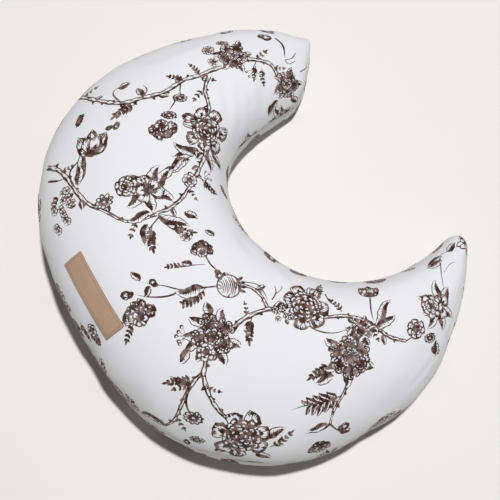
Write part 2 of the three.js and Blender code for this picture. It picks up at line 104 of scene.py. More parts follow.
def frames(u):
    """For each share u of the seam's length: the crossing line's middle, its direction, half its length, and the middle line's point."""
    u = np.clip(np.asarray(u, float), 0, 1)
    o, i = on_line(OUT_LINE, u), on_line(IN_LINE, u)
    across = o - i
    width = np.linalg.norm(across, axis=-1, keepdims=True)
    across = across / width
    along = np.stack([-across[..., 1], across[..., 0]], -1)
    ahead = on_line(OUT_LINE, np.minimum(1, u + 0.01)) - on_line(OUT_LINE, np.maximum(0, u - 0.01))
    along = along * np.sign((ahead * along).sum(-1, keepdims=True))
    mid = (o + i) / 2
    radial = mid - ARC_CENTRE
    radial = radial / np.linalg.norm(radial, axis=-1, keepdims=True)
    ease = smooth01((np.abs(2 * u - 1) - 0.62) / 0.3)[..., None]
    middle = (ARC_CENTRE + radial * ARC_RADIUS) * (1 - ease) + mid * ease
    end = (1 - np.clip(np.minimum(u, 1 - u) / 0.07, 0, 1)) ** 2
    middle = middle + along * (end * np.where(u < 0.5, -8.0, 7.0))[..., None]
    angle = np.degrees(np.arctan2(radial[..., 0], -radial[..., 1]))
    return dict(mid=mid, across=across, half=width[..., 0] / 2, middle=middle, angle=angle, along=along)


def root(t, n):
    return np.maximum(0, 1 - np.abs(t) ** n) ** (1 / n)


def thickness(u):
    return HEIGHT_BACK + (HEIGHT_TIP - HEIGHT_BACK) * np.abs(2 * u - 1) ** 1.9


def surface(u, w, side, inset=0.0):
    """Points of the cover: side +1 is the top, -1 the underside. u and w have one shape."""
    f = frames(u)
    half = f["half"] - inset
    plan = f["mid"] + f["across"] * (w * half)[..., None] + (f["middle"] - f["mid"]) * (1 - w * w)[..., None]
    ze = SEAM_FRACTION * thickness(u)
    s = 2 * u - 1
    if side > 0:
        z = ze + (thickness(u) - ze - inset) * root(w, TOP_CROWN) * root(s, END_TOP)
    else:
        drop = root(w, BASE_CROWN) * root(s, END_BASE)
        z = np.maximum(inset, ze - (ze - inset) * BASE_FLAT * drop)
    return np.concatenate([plan + SHIFT, z[..., None]], -1)


def share_of_slot(angle):
    return np.where(angle < -ZIP_HALF - PULL_ROOM, 1 - smooth01((-ZIP_HALF - PULL_ROOM - angle) / 3.0),
                    1 - smooth01((angle - ZIP_HALF - 2) / 3.0)) * (np.abs(angle) < 100)


class Panel:
    """A curved panel as an even table of points, over v along the crescent (0 to 1) and l across it (from l0 to 1 or -1)."""

    def __init__(self, side, half=0, nv=421, nl=181, inset=0.0):
        self.side, self.half_side = side, half
        # v: even steps of true length along the middle line
        tau = np.linspace(0, 1, 4001)
        u = 0.5 - 0.5 * np.cos(np.pi * tau)
        line = surface(u, np.zeros_like(u), side, inset)
        s = np.r_[0, np.cumsum(np.linalg.norm(np.diff(line, axis=0), axis=1))]
        self.length_v = s[-1]
        self.v = np.linspace(0, 1, nv)
        self.u = np.interp(self.v * s[-1], s, u)
        self.lam = np.linspace(-1, 1, nl) if half == 0 else np.linspace(0, 1, nl) * half
        self.lam = np.sort(self.lam)
        fine = np.sin(np.linspace(0, 1, 400) * np.pi / 2)
        uu = np.repeat(self.u[:, None], 400, 1)
        grid = np.empty((nv, nl, 3))
        f = frames(self.u)
        share = share_of_slot(f["angle"])
        edge = SLOT_HALF * (share > 0.999) + 0.15
        for sign in (-1, 1) if half == 0 else (half,):
            w = np.repeat(fine[None], nv, 0) * sign
            if half:
                e = (edge / f["half"])[:, None]
                w = sign * (e + (1 - e) * np.abs(w))
            p = surface(uu, w, side, inset)
            if half:
                d = np.abs(w) * f["half"][:, None]
                lift = LIFT * share[:, None] * (1 - smooth01((d - 8.3) / 7.0))
                p[..., 2] = np.maximum(p[..., 2], lift + inset)
            arc = np.concatenate([np.zeros((nv, 1)), np.cumsum(np.linalg.norm(np.diff(p, axis=1), axis=2), 1)], 1)
            cols = np.where(self.lam * sign >= 0)[0]
            for i in range(nv):
                want = np.abs(self.lam[cols]) * arc[i, -1]
                for c in range(3):
                    grid[i, cols, c] = np.interp(want, arc[i], p[i, :, c])
            if sign == (half or 1):
                self.length_l = arc[nv // 2, -1]
        self.base = grid
        self.set(grid)
        self.ink = []  # [tone, (n, 2) points in domain millimetres], in painting order

    def set(self, grid):
        self.grid = grid
        self.dv = np.gradient(grid, self.v, axis=0)
        self.dl = np.gradient(grid, self.lam, axis=1)
        n = np.cross(self.dl, self.dv) if self.side > 0 else np.cross(self.dv, self.dl)
        n /= np.maximum(np.linalg.norm(n, axis=2, keepdims=True), 1e-9)
        self.normal = n

    def _at(self, table, v, l):
        nv, nl = len(self.v), len(self.lam)
        x = np.clip(v, 0, 1) * (nv - 1)
        y = (np.clip(l, self.lam[0], self.lam[-1]) - self.lam[0]) / (self.lam[-1] - self.lam[0]) * (nl - 1)
        i, j = np.minimum(x.astype(int), nv - 2), np.minimum(y.astype(int), nl - 2)
        a, b = (x - i)[..., None], (y - j)[..., None]
        return (table[i, j] * (1 - a) * (1 - b) + table[i + 1, j] * a * (1 - b) + table[i, j + 1] * (1 - a) * b + table[i + 1, j + 1] * a * b)

    def point(self, v, l):
        return self._at(self.grid, np.asarray(v, float), np.asarray(l, float))

    def tangents(self, v, l):
        v, l = np.asarray(v, float), np.asarray(l, float)
        return self._at(self.dv, v, l), self._at(self.dl, v, l)

    def normals(self, v, l):
        n = self._at(self.normal, np.asarray(v, float), np.asarray(l, float))
        return n / np.maximum(np.linalg.norm(n, axis=-1, keepdims=True), 1e-9)

    def wrap(self, v0, l0, e1, pts):
        """(v, l) of points given in millimetres in the plane that touches the panel at v0, l0. e1 is the plane's first direction."""
        P, N = self.point(v0, l0), self.normals(v0, l0)
        e1 = np.asarray(e1, float) - N * np.dot(e1, N)
        e1 /= np.linalg.norm(e1)
        e2 = np.cross(N, e1)
        pts = np.asarray(pts, float)
        v, l = np.full(len(pts), float(v0)), np.full(len(pts), float(l0))
        for _ in range(7):
            d = self.point(v, l) - P
            ra, rb = pts[:, 0] - d @ e1, pts[:, 1] - d @ e2
            tv, tl = self.tangents(v, l)
            a, b, c, e = tv @ e1, tl @ e1, tv @ e2, tl @ e2
            det = a * e - b * c
            det = np.where(np.abs(det) < 200, np.sign(det) * 200 + (det == 0) * 200, det)
            v = v + np.clip((ra * e - b * rb) / det, -0.02, 0.02)
            l = l + np.clip((a * rb - c * ra) / det, -0.06, 0.06)
        return v, l

    def domain(self, v, l):
        return np.stack([v * self.length_v, l * self.length_l], -1)


# --------------------------------------------------------------- the camera
AZ, EL, DIST = math.radians(56.0), math.radians(77.0), 1500.0
BACK = np.array([math.sin(AZ) * math.cos(EL), -math.cos(AZ) * math.cos(EL), math.sin(EL)])
RIGHT = np.array([math.cos(AZ), math.sin(AZ), 0.0])
UP = np.cross(BACK, RIGHT)
EYE = np.array([8.83 + 1.12, 2.22 + 0.51, 60.0]) + DIST * BACK
FOCAL = 0.785 * DIST  # in pixels of a 500 pixel frame


def seen(points):
    r = np.asarray(points) - EYE
    depth = -(r @ BACK)
    return np.stack([250 + FOCAL * (r @ RIGHT) / depth, 250 - FOCAL * (r @ UP) / depth], -1)


cam_data = bpy.data.cameras.new("camera")
cam_data.sensor_width = 36.0
cam_data.lens = 36.0 * FOCAL / 500.0
cam_data.clip_end = 50.0
camera = bpy.data.objects.new("camera", cam_data)
bpy.context.scene.collection.objects.link(camera)
m = Matrix.Identity(4)
for k, axis in enumerate((RIGHT, UP, BACK)):
    for r in range(3):
        m[r][k] = float(axis[r])
for r in range(3):
    m[r][3] = float(EYE[r]) * MM
camera.matrix_world = m
bpy.context.scene.camera = camera

top = Panel(+1)
base_out = Panel(-1, half=1, nl=121)
base_in = Panel(-1, half=-1, nl=121)

_px = seen(top.grid)
_facing = (top.normal * (EYE - top.grid)).sum(-1) > 0


def pick(x, y):
    """(v, l) on the top panel at a place in the camera's 500 pixel frame."""
    d = ((_px - (x, y)) ** 2).sum(-1) + np.where(_facing, 0, 1e6)
    i, j = np.unravel_index(np.argmin(d), d.shape)
    v, l = top.v[i], top.lam[j]
    for _ in range(4):
        e = 1e-4
        p0 = seen(top.point(v, l))
        jv, jl = (seen(top.point(v + e, l)) - p0) / e, (seen(top.point(v, l + e)) - p0) / e
        r = np.array([x, y]) - p0
        det = jv[0] * jl[1] - jl[0] * jv[1]
        if abs(det) < 4e3:
            break
        v = float(np.clip(v + np.clip((r[0] * jl[1] - jl[0] * r[1]) / det, -0.01, 0.01), 0, 1))
        l = float(np.clip(l + np.clip((jv[0] * r[1] - jv[1] * r[0]) / det, -0.03, 0.03), -0.995, 0.995))
    return v, l


# ------------------------------------------------------------ noise and folds
def noise_table(seed, nv, nl, len_v, len_l, size):
    """Smooth noise, about -1 to 1, over a table that is len_v by len_l millimetres, with features of that size."""
    rng = np.random.default_rng(seed)
    a, b = max(3, int(len_v / size) + 3), max(3, int(len_l / size) + 3)
    coarse = rng.standard_normal((a, b))

    def up(x, n, axis):
        m = x.shape[axis]
        t = np.linspace(1, m - 2.001, n)
        i = t.astype(int)
        f = t - i
        x = np.moveaxis(x, axis, 0)
        f = f.reshape(-1, *([1] * (x.ndim - 1)))
        p0, p1, p2, p3 = x[i - 1], x[i], x[np.minimum(i + 1, m - 1)], x[np.minimum(i + 2, m - 1)]
        y = 0.5 * (2 * p1 + (p2 - p0) * f + (2 * p0 - 5 * p1 + 4 * p2 - p3) * f**2 + (3 * p1 - p0 - 3 * p2 + p3) * f**3)
        return np.moveaxis(y, 0, axis)

    return up(up(coarse, nv, 0), nl, 1) * 0.6


def edge_distance(p):
    """Rough distance to the seam for each point of a panel's table, in millimetres."""
    l = np.abs(p.lam)[None, :] * np.ones((len(p.v), 1))
    arc = np.linalg.norm(np.diff(p.base, axis=1), axis=2).sum(1)
    per = arc / (np.abs(p.lam[-1]) + np.abs(p.lam[0]))
    across = (1 - l) * per[:, None]
    ends = np.minimum(p.v, 1 - p.v)[:, None] * p.length_v
    return across, np.broadcast_to(ends, across.shape)


def dress(p, seed):
    """Lumps of the filling, puckers along the seam and soft folds, as moves along the normal."""
    nv, nl = len(p.v), len(p.lam)
    across, ends = edge_distance(p)
    near = np.minimum(across, ends)
    ll = p.length_l * (2 if p.half_side == 0 else 1)
    d = 1.1 * noise_table(seed, nv, nl, p.length_v, ll, 95) + 0.35 * noise_table(seed + 1, nv, nl, p.length_v, ll, 38)
    d *= smooth01(near / 30)
    # puckers: noise drawn out square to the seam
    pucker = noise_table(77, nv, 5, p.length_v, 60, 17)  # same on both panels, so their seam meets
    lines = np.repeat(pucker[:, 2:3], nl, 1)
    skew = noise_table(seed + 3, nv, nl, p.length_v, ll, 26)
    d += (0.9 * lines + 0.35 * skew) * np.exp(-across / 13.0) * smooth01(ends / 25)
    # the seam lies in a shallow groove
    d -= 1.1 * np.exp(-((near / 3.2) ** 2))
    if p.side < 0:
        flat = smooth01((p.base[..., 2] - 1.5) / 12)
        d = d * flat
        d = np.maximum(d, -1.5) if p.half_side == 0 else d
    return d


def fold(p, d, a, b, width, depth, skew=0.0):
    """Adds a soft crease to the table d, from the image place a to b on the top panel."""
    (va, la), (vb, lb) = pick(*a), pick(*b)
    A, B = p.point(va, la), p.point(vb, lb)
    ab = B - A
    L = np.linalg.norm(ab)
    ab /= L
    r = p.base - A
    t = (r @ ab) / L
    off = np.linalg.norm(r - (r @ ab)[..., None] * ab, axis=-1)
    side = np.sign(np.cross(ab, r) @ np.array([0, 0, 1.0]))
    x = off * side / width
    along = smooth01(t / 0.25 + 0.0) * smooth01((1 - t) / 0.35)
    profile = -np.exp(-(x**2)) + 0.55 * np.exp(-((x - 1.7) ** 2)) + 0.45 * np.exp(-((x + 1.7) ** 2))
    d += depth * along * profile
    return d


def blur(a, r0, r1, rounds=2):
    """A soft average over about r0 and r1 steps, with the edges repeated."""
    for _ in range(rounds):
        for axis, r in ((0, r0), (1, r1)):
            pad = [(0, 0)] * a.ndim
            pad[axis] = (r + 1, r)
            c = np.cumsum(np.pad(a, pad, mode="edge"), axis=axis)
            n = a.shape[axis]
            hi_, lo_ = [slice(None)] * a.ndim, [slice(None)] * a.ndim
            hi_[axis], lo_[axis] = slice(2 * r + 1, 2 * r + 1 + n), slice(0, n)
            a = (c[tuple(hi_)] - c[tuple(lo_)]) / (2 * r + 1)
    return a


def billow():
    """The cover as one closed cloth, blown up from inside with its seams drawn tight. Gives the moves along the normal for each panel."""
    n, nt, nb = 170, 72, 27
    v = np.linspace(0, 1, n)
    lt, lb = np.linspace(-1, 1, nt), np.linspace(0, 1, nb)
    grids, normals = [], []
    for p, lam in ((top, lt), (base_out, lb[::-1][1:]), (base_in, -lb[:-1])):
        V, L = np.meshgrid(v, lam, indexing="ij")
        grids.append(p._at(p.base, V, L))
        normals.append(p.normals(V, L))
    rest = np.concatenate(grids, 1)
    N = np.concatenate(normals, 1)
    m = rest.shape[1]
    idx = np.arange(n * m).reshape(n, m)
    nxt = np.roll(idx, -1, 1)
    quads = np.stack([idx[:-1], nxt[:-1], nxt[1:], idx[1:]], -1).reshape(-1, 4)
    me = bpy.data.meshes.new("billow")
    start = rest - N * 1.5
    me.from_pydata([tuple(q) for q in (start.reshape(-1, 3) * MM)], [], [tuple(int(i) for i in f) for f in quads])
    me.update()
    ob = bpy.data.objects.new("billow", me)
    bpy.context.scene.collection.objects.link(ob)
    hold = ob.vertex_groups.new(name="hold")
    hold.add([int(i) for i in np.r_[idx[0], idx[-1]]], 1.0, "REPLACE")
    seam = ob.vertex_groups.new(name="seam")
    tight = [0, 1, nt - 1, nt, m - 1, nt - 2]
    seam.add([int(i) for c in tight for i in idx[:, c]], 1.0, "REPLACE")
    mod = ob.modifiers.new("cloth", "CLOTH")
    cs = mod.settings
    cs.quality = 5
    cs.mass = 0.25
    cs.tension_stiffness = cs.compression_stiffness = 12
    cs.shear_stiffness = 4
    cs.bending_stiffness = 0.06
    cs.use_pressure = True
    cs.uniform_pressure_force = 4.0
    cs.vertex_group_mass = "hold"
    cs.vertex_group_shrink = "seam"
    cs.shrink_min = -0.035
    cs.shrink_max = 0.05
    cs.effector_weights.gravity = 0.0
    mod.collision_settings.use_collision = False
    mod.point_cache.frame_start, mod.point_cache.frame_end = 1, 20
    scene = bpy.context.scene
    for f in range(1, 21):
        scene.frame_set(f)
    got = ob.evaluated_get(bpy.context.evaluated_depsgraph_get()).data
    co = np.empty(len(got.vertices) * 3, np.float32)
    got.vertices.foreach_get("co", co)
    D = (co.reshape(n, m, 3).astype(float) / MM) - rest
    bpy.data.objects.remove(ob)
    scene.frame_set(1)
    D = np.nan_to_num(D)
    dn = (D * N).sum(2)
    out, at = [], 0
    for p, g in zip((top, base_out, base_in), grids):
        w = g.shape[1]
        d = dn[:, at : at + w]
        at += w
        fine = d - blur(d, 14, 8)
        fine = blur(fine, 1, 1, 1)
        print("billow", p.side, p.half_side, "moves", np.round(np.percentile(d, [1, 50, 99]), 2), "fine", np.round(np.percentile(fine, [1, 25, 75, 99]), 2))
        fine = 4.0 * np.tanh(fine / 4.0)
        if p is base_out:
            fine = np.concatenate([fine[:, :1], fine], 1)[:, ::-1]
        elif p is base_in:
            fine = np.concatenate([fine, fine[:, -1:]], 1)[:, ::-1]
        lam = {0: lt, 1: lb, -1: -lb[::-1]}[p.half_side]
        up = np.empty((len(p.v), len(lam)))
        for j in range(len(lam)):
            up[:, j] = np.interp(p.v, v, fine[:, j])
        full = np.empty((len(p.v), len(p.lam)))
        for i in range(len(p.v)):
            full[i] = np.interp(p.lam, lam, up[i])
        out.append(blur(full, 1, 1, 1))
    return out


BILLOW = 0.42
lumps = billow()
d_top = dress(top, 11)
for a, b, width, depth in (
    ((222, 70), (228, 128), 7.0, 1.5),
    ((236, 84), (236, 140), 6.0, 1.2),
    ((250, 96), (240, 150), 6.0, 0.9),
    ((262, 70), (256, 122), 8.0, 1.0),
    ((452, 342), (412, 404), 5.0, 0.9),
    ((440, 350), (402, 398), 5.0, 0.7),
    ((457, 300), (446, 345), 4.0, 0.7),
    ((262, 262), (232, 226), 8.0, 0.8),
    ((300, 288), (276, 262), 7.0, 0.7),
):
    fold(top, d_top, a, b, width, depth)
d_top = d_top + BILLOW * lumps[0]
top.set(top.base + top.normal * d_top[..., None])
for p, seed, more in ((base_out, 21, lumps[1]), (base_in, 31, lumps[2])):
    d = dress(p, seed) + BILLOW * more * smooth01((p.base[..., 2] - 2.0) / 10) * smooth01((p.length_v * 0 + np.abs(p.lam)[None] * p.length_l - 24) / 12)
    g = p.base + p.normal * d[..., None]
    g[..., 2] = np.maximum(g[..., 2], 0.0)
    p.set(g)

# --------------------------------------------------------------- the drawing
rng = np.random.default_rng(2024)


def rnd(a, b):
    return float(rng.uniform(a, b))


def bez(p0, p1, p2, p3, n):
    t = np.linspace(0, 1, n)[:, None]
    p0, p1, p2, p3 = (np.asarray(q, float) for q in (p0, p1, p2, p3))
    return (1 - t) ** 3 * p0 + 3 * (1 - t) ** 2 * t * p1 + 3 * (1 - t) * t**2 * p2 + t**3 * p3


def spline(points, step):
    """A smooth line through points, resampled at about that step."""
    p = np.asarray(points, float)
    if len(p) < 3:
        p = np.vstack([p[0], (p[0] + p[-1]) / 2, p[-1]])
    q = np.vstack([2 * p[0] - p[1], p, 2 * p[-1] - p[-2]])
    out = []
    for k in range(1, len(q) - 2):
        t = np.linspace(0, 1, 24, endpoint=False)[:, None]
        a, b, c, d = q[k - 1 : k + 3]
        out.append(0.5 * (2 * b + (c - a) * t + (2 * a - 5 * b + 4 * c - d) * t**2 + (3 * b - a - 3 * c + d) * t**3))
    out = np.vstack([*out, p[-1:]])
    s = np.r_[0, np.cumsum(np.linalg.norm(np.diff(out, axis=0), axis=1))]
    n = max(3, int(s[-1] / step) + 1)
    at = np.linspace(0, s[-1], n)
    return np.stack([np.interp(at, s, out[:, c]) for c in range(out.shape[1])], 1)


class Sketch:
    """A small ink drawing in millimetres: a list of (tone, points), painted in order. Tone 1 is ink and 0 is bare cloth."""

    def __init__(self):
        self.items = []

    def fill(self, pts, tone=1.0):
        self.items.append((tone, np.asarray(pts, float)))

    def line(self, pts, w, tone=1.0, taper=(0.25, 0.25)):
        p = np.asarray(pts, float)
        n = len(p)
        t = np.gradient(p, axis=0)
        t /= np.maximum(np.linalg.norm(t, axis=1, keepdims=True), 1e-9)
        nrm = np.stack([-t[:, 1], t[:, 0]], 1)
        s = np.linspace(0, 1, n)
        prof = np.minimum(1, np.minimum((s + 0.02) / max(taper[0], 1e-3), (1.02 - s) / max(taper[1], 1e-3)))
        h = 0.5 * w * np.maximum(0.16, np.minimum(1, prof))
        a, b = p + nrm * h[:, None], p - nrm * h[:, None]
        for k in range(n - 1):
            self.items.append((tone, np.array([b[k], b[k + 1], a[k + 1], a[k]])))

    def join(self, other, at=(0, 0), angle=0.0, scale=1.0, flip=False):
        c, s = math.cos(math.radians(angle)), math.sin(math.radians(angle))
        R = np.array([[c, s], [-s, c]])
        for tone, q in other.items:
            q = q * (1, -1) if flip else q
            q = q[::-1] if flip else q
            self.items.append((tone, (q * scale) @ R + at))
        return self


def leaf(L, W, bend=0.15, hatch=7, dark=0.5):
    s = Sketch()
    t = np.linspace(0, 1, 10)
    mid = np.stack([L * t, bend * L * t**2 - 0.05 * L * np.sin(2 * np.pi * t)], 1)
    tan = np.gradient(mid, axis=0)
    tan /= np.linalg.norm(tan, axis=1, keepdims=True)
    nrm = np.stack([-tan[:, 1], tan[:, 0]], 1)
    half = W * np.sin(np.pi * t**0.8) ** 0.85
    wob = 1 + 0.1 * np.sin(t * 19 + rnd(0, 6))
    up, dn = mid + nrm * (half * wob)[:, None], mid - nrm * (half * 0.85 * wob[::-1])[:, None]
    s.fill(np.vstack([dn, up[::-1][1:-1]]), 0.0)
    if W > 1.3:
        # the shaded half, then light cut back into it between the veins
        lo_, hi_ = mid - nrm * (half * 0.84)[:, None], mid - nrm * (half * 0.12)[:, None]
        s.fill(np.vstack([lo_[:-1], hi_[::-1][1:]]), 1.0)
        n = max(3, int(hatch * 0.8))
        for k in range(n):
            q = 0.12 + 0.7 * (k + 0.5) / n
            m0 = np.array([np.interp(q, t, mid[:, c]) for c in (0, 1)])
            e = np.array([np.interp(min(0.98, q + 0.12), t, dn[:, c]) for c in (0, 1)])
            if W > 2.4:
                s.line([m0 + (e - m0) * 0.16, m0 + (e - m0) * rnd(0.5, 0.8)], 0.5, 0.0, taper=(0.3, 0.5))
    s.line(up, 0.85 if W > 2 else 0.7)
    s.line(dn, 1.05 if W > 2 else 0.8)
    for k in range(int(hatch * 1.3)):
        q = 0.08 + 0.82 * k / (hatch * 1.3)
        m0 = np.array([np.interp(q, t, mid[:, c]) for c in (0, 1)])
        e = np.array([np.interp(min(0.99, q + 0.12), t, up[:, c]) for c in (0, 1)])
        s.line([m0, m0 + (e - m0) * (0.92 if k % 2 else rnd(0.4, 0.65))], 0.75, taper=(0.01, 0.9))
        if W > 2.6 and k % 2:  # short strokes that come in from the lit edge
            s.line([e, e + (m0 - e) * rnd(0.25, 0.4)], 0.6, taper=(0.01, 0.9))
    s.line(mid, 0.9, taper=(0.05, 0.7))
    return s


def petal(L, W, hatch=6, frill=0.05, point=0.0, dark=0.5, base=0.0):
    """A petal from the origin along +x: shaded with fine strokes from its root and from its rim, lit in between."""
    s = Sketch()
    t = np.linspace(0, 1, 9)
    c = 0.62
    half = np.where(t < c, W * smooth01(t / c * 0.9 + 0.1) ** 0.8, W * np.sqrt(np.maximum(0, 1 - ((t - c) / (1 - c)) ** 2)) ** (1 + point))
    ph = rnd(0, 6)
    f1, f2 = 1 + frill * np.sin(11 * t + ph), 1 + frill * np.sin(13 * t + ph + 2)
    up, dn = np.stack([L * t * f1, half * f1], 1), np.stack([L * t * f2, -half * f2], 1)
    up[-1] = dn[-1] = (L * (1 + point * 0.12), 0)
    up[0] = dn[0] = (base, 0)
    s.fill(np.vstack([dn, up[::-1][1:-1]]), 0.0)
    wide = min(1.05, 0.45 + 0.035 * L)
    if hatch >= 4 and L > 7:
        # the side away from the light
        lower = np.stack([L * t[1:-1] * f2[1:-1], -(half * f2)[1:-1] * 0.98], 1)
        inner = lower * (1.0, 0.62) - (L * 0.03, 0)
        s.fill(np.vstack([lower[2:], inner[2:][::-1]]), 1.0)
    s.line(up, wide, taper=(0.05, 0.05))
    s.line(dn, wide * 1.2, taper=(0.05, 0.05))
    n = int(hatch * 1.9)
    for k in range(n):
        q = -1 + 2 * (k + 0.5) / n
        r = rnd(0.42, 0.78) * (1.12 - 0.3 * abs(q))
        s.line([(L * 0.04 + base, 0.25 * W * q), (L * r * 0.55, 0.6 * W * q), (L * r, 0.76 * W * q)], wide * 1.05, taper=(0.01, 0.8))
    s.fill([(base, 0), (L * dark * 0.6, -W * 0.5 * dark), (L * dark, 0), (L * dark * 0.6, W * 0.5 * dark)], 1.0)
    if L > 5:
        for k in range(n):
            q = -0.9 + 1.8 * (k + 0.5) / n + rnd(-0.06, 0.06)
            x = L * (c + (1 - c) * math.sqrt(max(0.0, 1 - (q * 0.92) ** 2)))
            s.line([(x, W * q * 0.9), (x - L * rnd(0.16, 0.38), W * q * 0.82)], wide * 0.85, taper=(0.01, 0.9))
    return s


def disc(r, tone=1.0, n=9, at=(0, 0), squash=1.0):
    a = np.linspace(0, 2 * np.pi, n, endpoint=False)
    return tone, np.stack([at[0] + r * np.cos(a), at[1] + r * squash * np.sin(a)], 1)


def rose(R, rings=((1.0, 9, 0.36), (0.72, 7, 0.36), (0.46, 5, 0.34)), hatch=6):
    s = Sketch()
    for share, n, wide in rings:
        turn = rnd(0, 360)
        s.items.append(disc(R * share * 0.8, 1.0, 16))
        for k in range(n):
            a = turn + 360 * k / n + rnd(-7, 7)
            r = R * share * rnd(0.9, 1.08)
            p = petal(r * 0.8, R * share * wide * rnd(0.9, 1.1), hatch=hatch, frill=0.08, dark=0.55)
            c = (0.22 * r * math.cos(math.radians(a)), 0.22 * r * math.sin(math.radians(a)))
            s.join(p, c, a)
    s.items.append(disc(R * 0.17))
    for k in range(4):
        a = math.radians(90 * k + 30)
        s.line([(0.04 * R * math.cos(a), 0.04 * R * math.sin(a)), (0.15 * R * math.cos(a + 0.7), 0.15 * R * math.sin(a + 0.7))], 0.7, 0.0)
    return s


def peony(R):
    """A full flower: a few wide outer petals round a dense, ruffled heart."""
    s = Sketch()
    turn = rnd(0, 60)
    for k in range(7):
        a = turn + 360 * k / 7 + rnd(-9, 9)
        c = (0.36 * R * math.cos(math.radians(a)), 0.36 * R * math.sin(math.radians(a)))
        s.join(petal(R * rnd(0.6, 0.74), R * rnd(0.27, 0.33), hatch=8, frill=0.1, dark=0.7), c, a)
    s.items.append(disc(R * 0.58, 1.0, 18))
    for ring, n, size in ((0.44, 13, 0.24), (0.31, 10, 0.22), (0.18, 7, 0.2), (0.04, 4, 0.17)):
        turn = rnd(0, 360)
        for k in range(n):
            a = turn + 360 * k / n + rnd(-12, 12)
            r = R * ring * rnd(0.9, 1.12)
            c = (r * math.cos(math.radians(a)), r * math.sin(math.radians(a)))
            s.join(petal(R * size * rnd(0.85, 1.2), R * size * rnd(0.4, 0.55), hatch=4, frill=0.12, dark=0.6), c, a + rnd(-25, 25))
    for k in range(5):
        a = math.radians(72 * k)
        s.items.append(disc(R * 0.035, 1.0, 6, (R * 0.09 * math.cos(a), R * 0.09 * math.sin(a))))
    return s


def daisy(R, n=12, tilt=1.0):
    s = Sketch()
    s.items.append(disc(R * 0.62, 1.0, 14))
    for k in range(n):
        a = 360 * k / n + rnd(-4, 4)
        s.join(petal(R * rnd(0.88, 1.05), R * 0.2, hatch=3, frill=0.04, dark=0.65), (0, 0), a)
    s.items.append(disc(R * 0.27))
    s.items.append(disc(R * 0.18, 0.0))
    for k in range(5):
        a = k * 1.26
        s.items.append(disc(R * 0.045, 1.0, 5, (R * 0.1 * math.cos(a), R * 0.1 * math.sin(a))))
    for tone, q in s.items:
        q[:, 1] *= tilt
    return s


def tulip(H):
    s = Sketch()
    for a, L, W in ((122, 0.98, 0.26), (58, 0.98, 0.26), (90, 1.04, 0.24), (146, 0.66, 0.15), (34, 0.66, 0.15), (107, 0.84, 0.25), (73, 0.84, 0.25)):
        s.join(petal(H * L, H * W, hatch=6, frill=0.05, point=0.7, dark=0.5), (0, 0), a)
    s.fill([(-H * 0.12, 0.02 * H), (0, -H * 0.05), (H * 0.12, 0.02 * H), (0, H * 0.2)], 1.0)
    return s


def lily(R):
    s = Sketch()
    for a, L in ((200, 0.95), (160, 1.05), (20, 1.0), (330, 0.9), (118, 0.85), (250, 0.8), (65, 0.92)):
        s.join(leaf(R * L, R * 0.19, rnd(-0.3, 0.3), 6, 0.6), (0, 0), a)
    for a, L, W in ((95, 0.55, 0.24), (215, 0.5, 0.22), (325, 0.5, 0.22), (30, 0.42, 0.2), (160, 0.42, 0.2)):
        s.join(petal(R * L, R * W, hatch=5, frill=0.1, dark=0.6), (0, 0), a)
    for k in range(5):
        a = math.radians(50 + 20 * k)
        q = bez((0, 0), (R * 0.15 * math.cos(a), R * 0.15), (R * 0.3 * math.cos(a), R * 0.35), (R * 0.38 * math.cos(a), R * 0.42 * math.sin(a)), 5)
        s.line(q, 0.6)
        s.items.append(disc(R * 0.04, 1.0, 6, q[-1]))
    s.items.append(disc(R * 0.1))
    return s


def carnation(R):
    s = Sketch()
    s.items.append(disc(R * 0.6, 1.0, 14, (0, R * 0.25)))
    for n, r, w, spread in ((7, 1.0, 0.3, 190), (6, 0.74, 0.28, 170), (4, 0.5, 0.24, 130)):
        for k in range(n):
            a = 90 + spread * ((k + 0.5) / n - 0.5) + rnd(-5, 5)
            s.join(petal(R * r * rnd(0.92, 1.05), R * w, hatch=5, frill=0.16, dark=0.5), (0, 0), a)
    for a in (205, 245, 295, 335):
        s.join(petal(R * 0.5, R * 0.2, hatch=4, frill=0.1, dark=0.6), (0, 0), a)
    s.items.append(disc(R * 0.13))
    return s


def bud(L):
    s = Sketch()
    s.join(petal(L, L * 0.34, hatch=6, frill=0.03, point=0.5, dark=0.5))
    s.join(petal(L * 0.9, L * 0.2, hatch=3, frill=0.03, point=0.6, dark=0.3))
    for a in (28, -28, 0):
        s.join(leaf(L * 0.55, L * 0.11, 0.1, 3, 0.9), (-L * 0.05, 0), a)
    return s


def floret(r):
    s = Sketch()
    turn = rnd(0, 72)
    for k in range(5):
        a = math.radians(turn + 72 * k)
        c = (0.5 * r * math.cos(a), 0.5 * r * math.sin(a))
        s.items.append(disc(r * 0.58, 1.0, 8, c))
        s.items.append(disc(r * 0.39, 0.0, 8, (c[0] * 1.05 - 0.05 * r, c[1] * 1.05 + 0.06 * r)))
        for d in (-0.35, 0.0, 0.35):
            s.line([(0.15 * r * math.cos(a), 0.15 * r * math.sin(a)), (0.66 * r * math.cos(a + d), 0.66 * r * math.sin(a + d))], 0.6, taper=(0.01, 0.8))
    s.items.append(disc(r * 0.2, 1.0, 6))
    return s


def cluster(R, n=9, long=1.0):
    s = Sketch()
    s.scale = 1.05
    spots = []
    for k in range(400):
        if len(spots) >= n:
            break
        a, r = rnd(0, 6.283), R * math.sqrt(rnd(0, 1))
        c = (r * math.cos(a) * long, r * math.sin(a))
        if all((c[0] - q[0]) ** 2 + (c[1] - q[1]) ** 2 > (R * 0.36) ** 2 for q in spots):
            spots.append(c)
    for k in range(7):
        a = rnd(0, 360)
        s.join(leaf(R * rnd(0.6, 0.85), R * 0.2, rnd(-0.2, 0.2), 5, 0.8), (0.62 * R * long * math.cos(math.radians(a)), 0.62 * R * math.sin(math.radians(a))), a)
    for c in spots:
        s.items.append(disc(R * 0.34, 1.0, 9, c))
    for c in spots:
        s.join(floret(R * rnd(0.3, 0.38)), c)
    return s


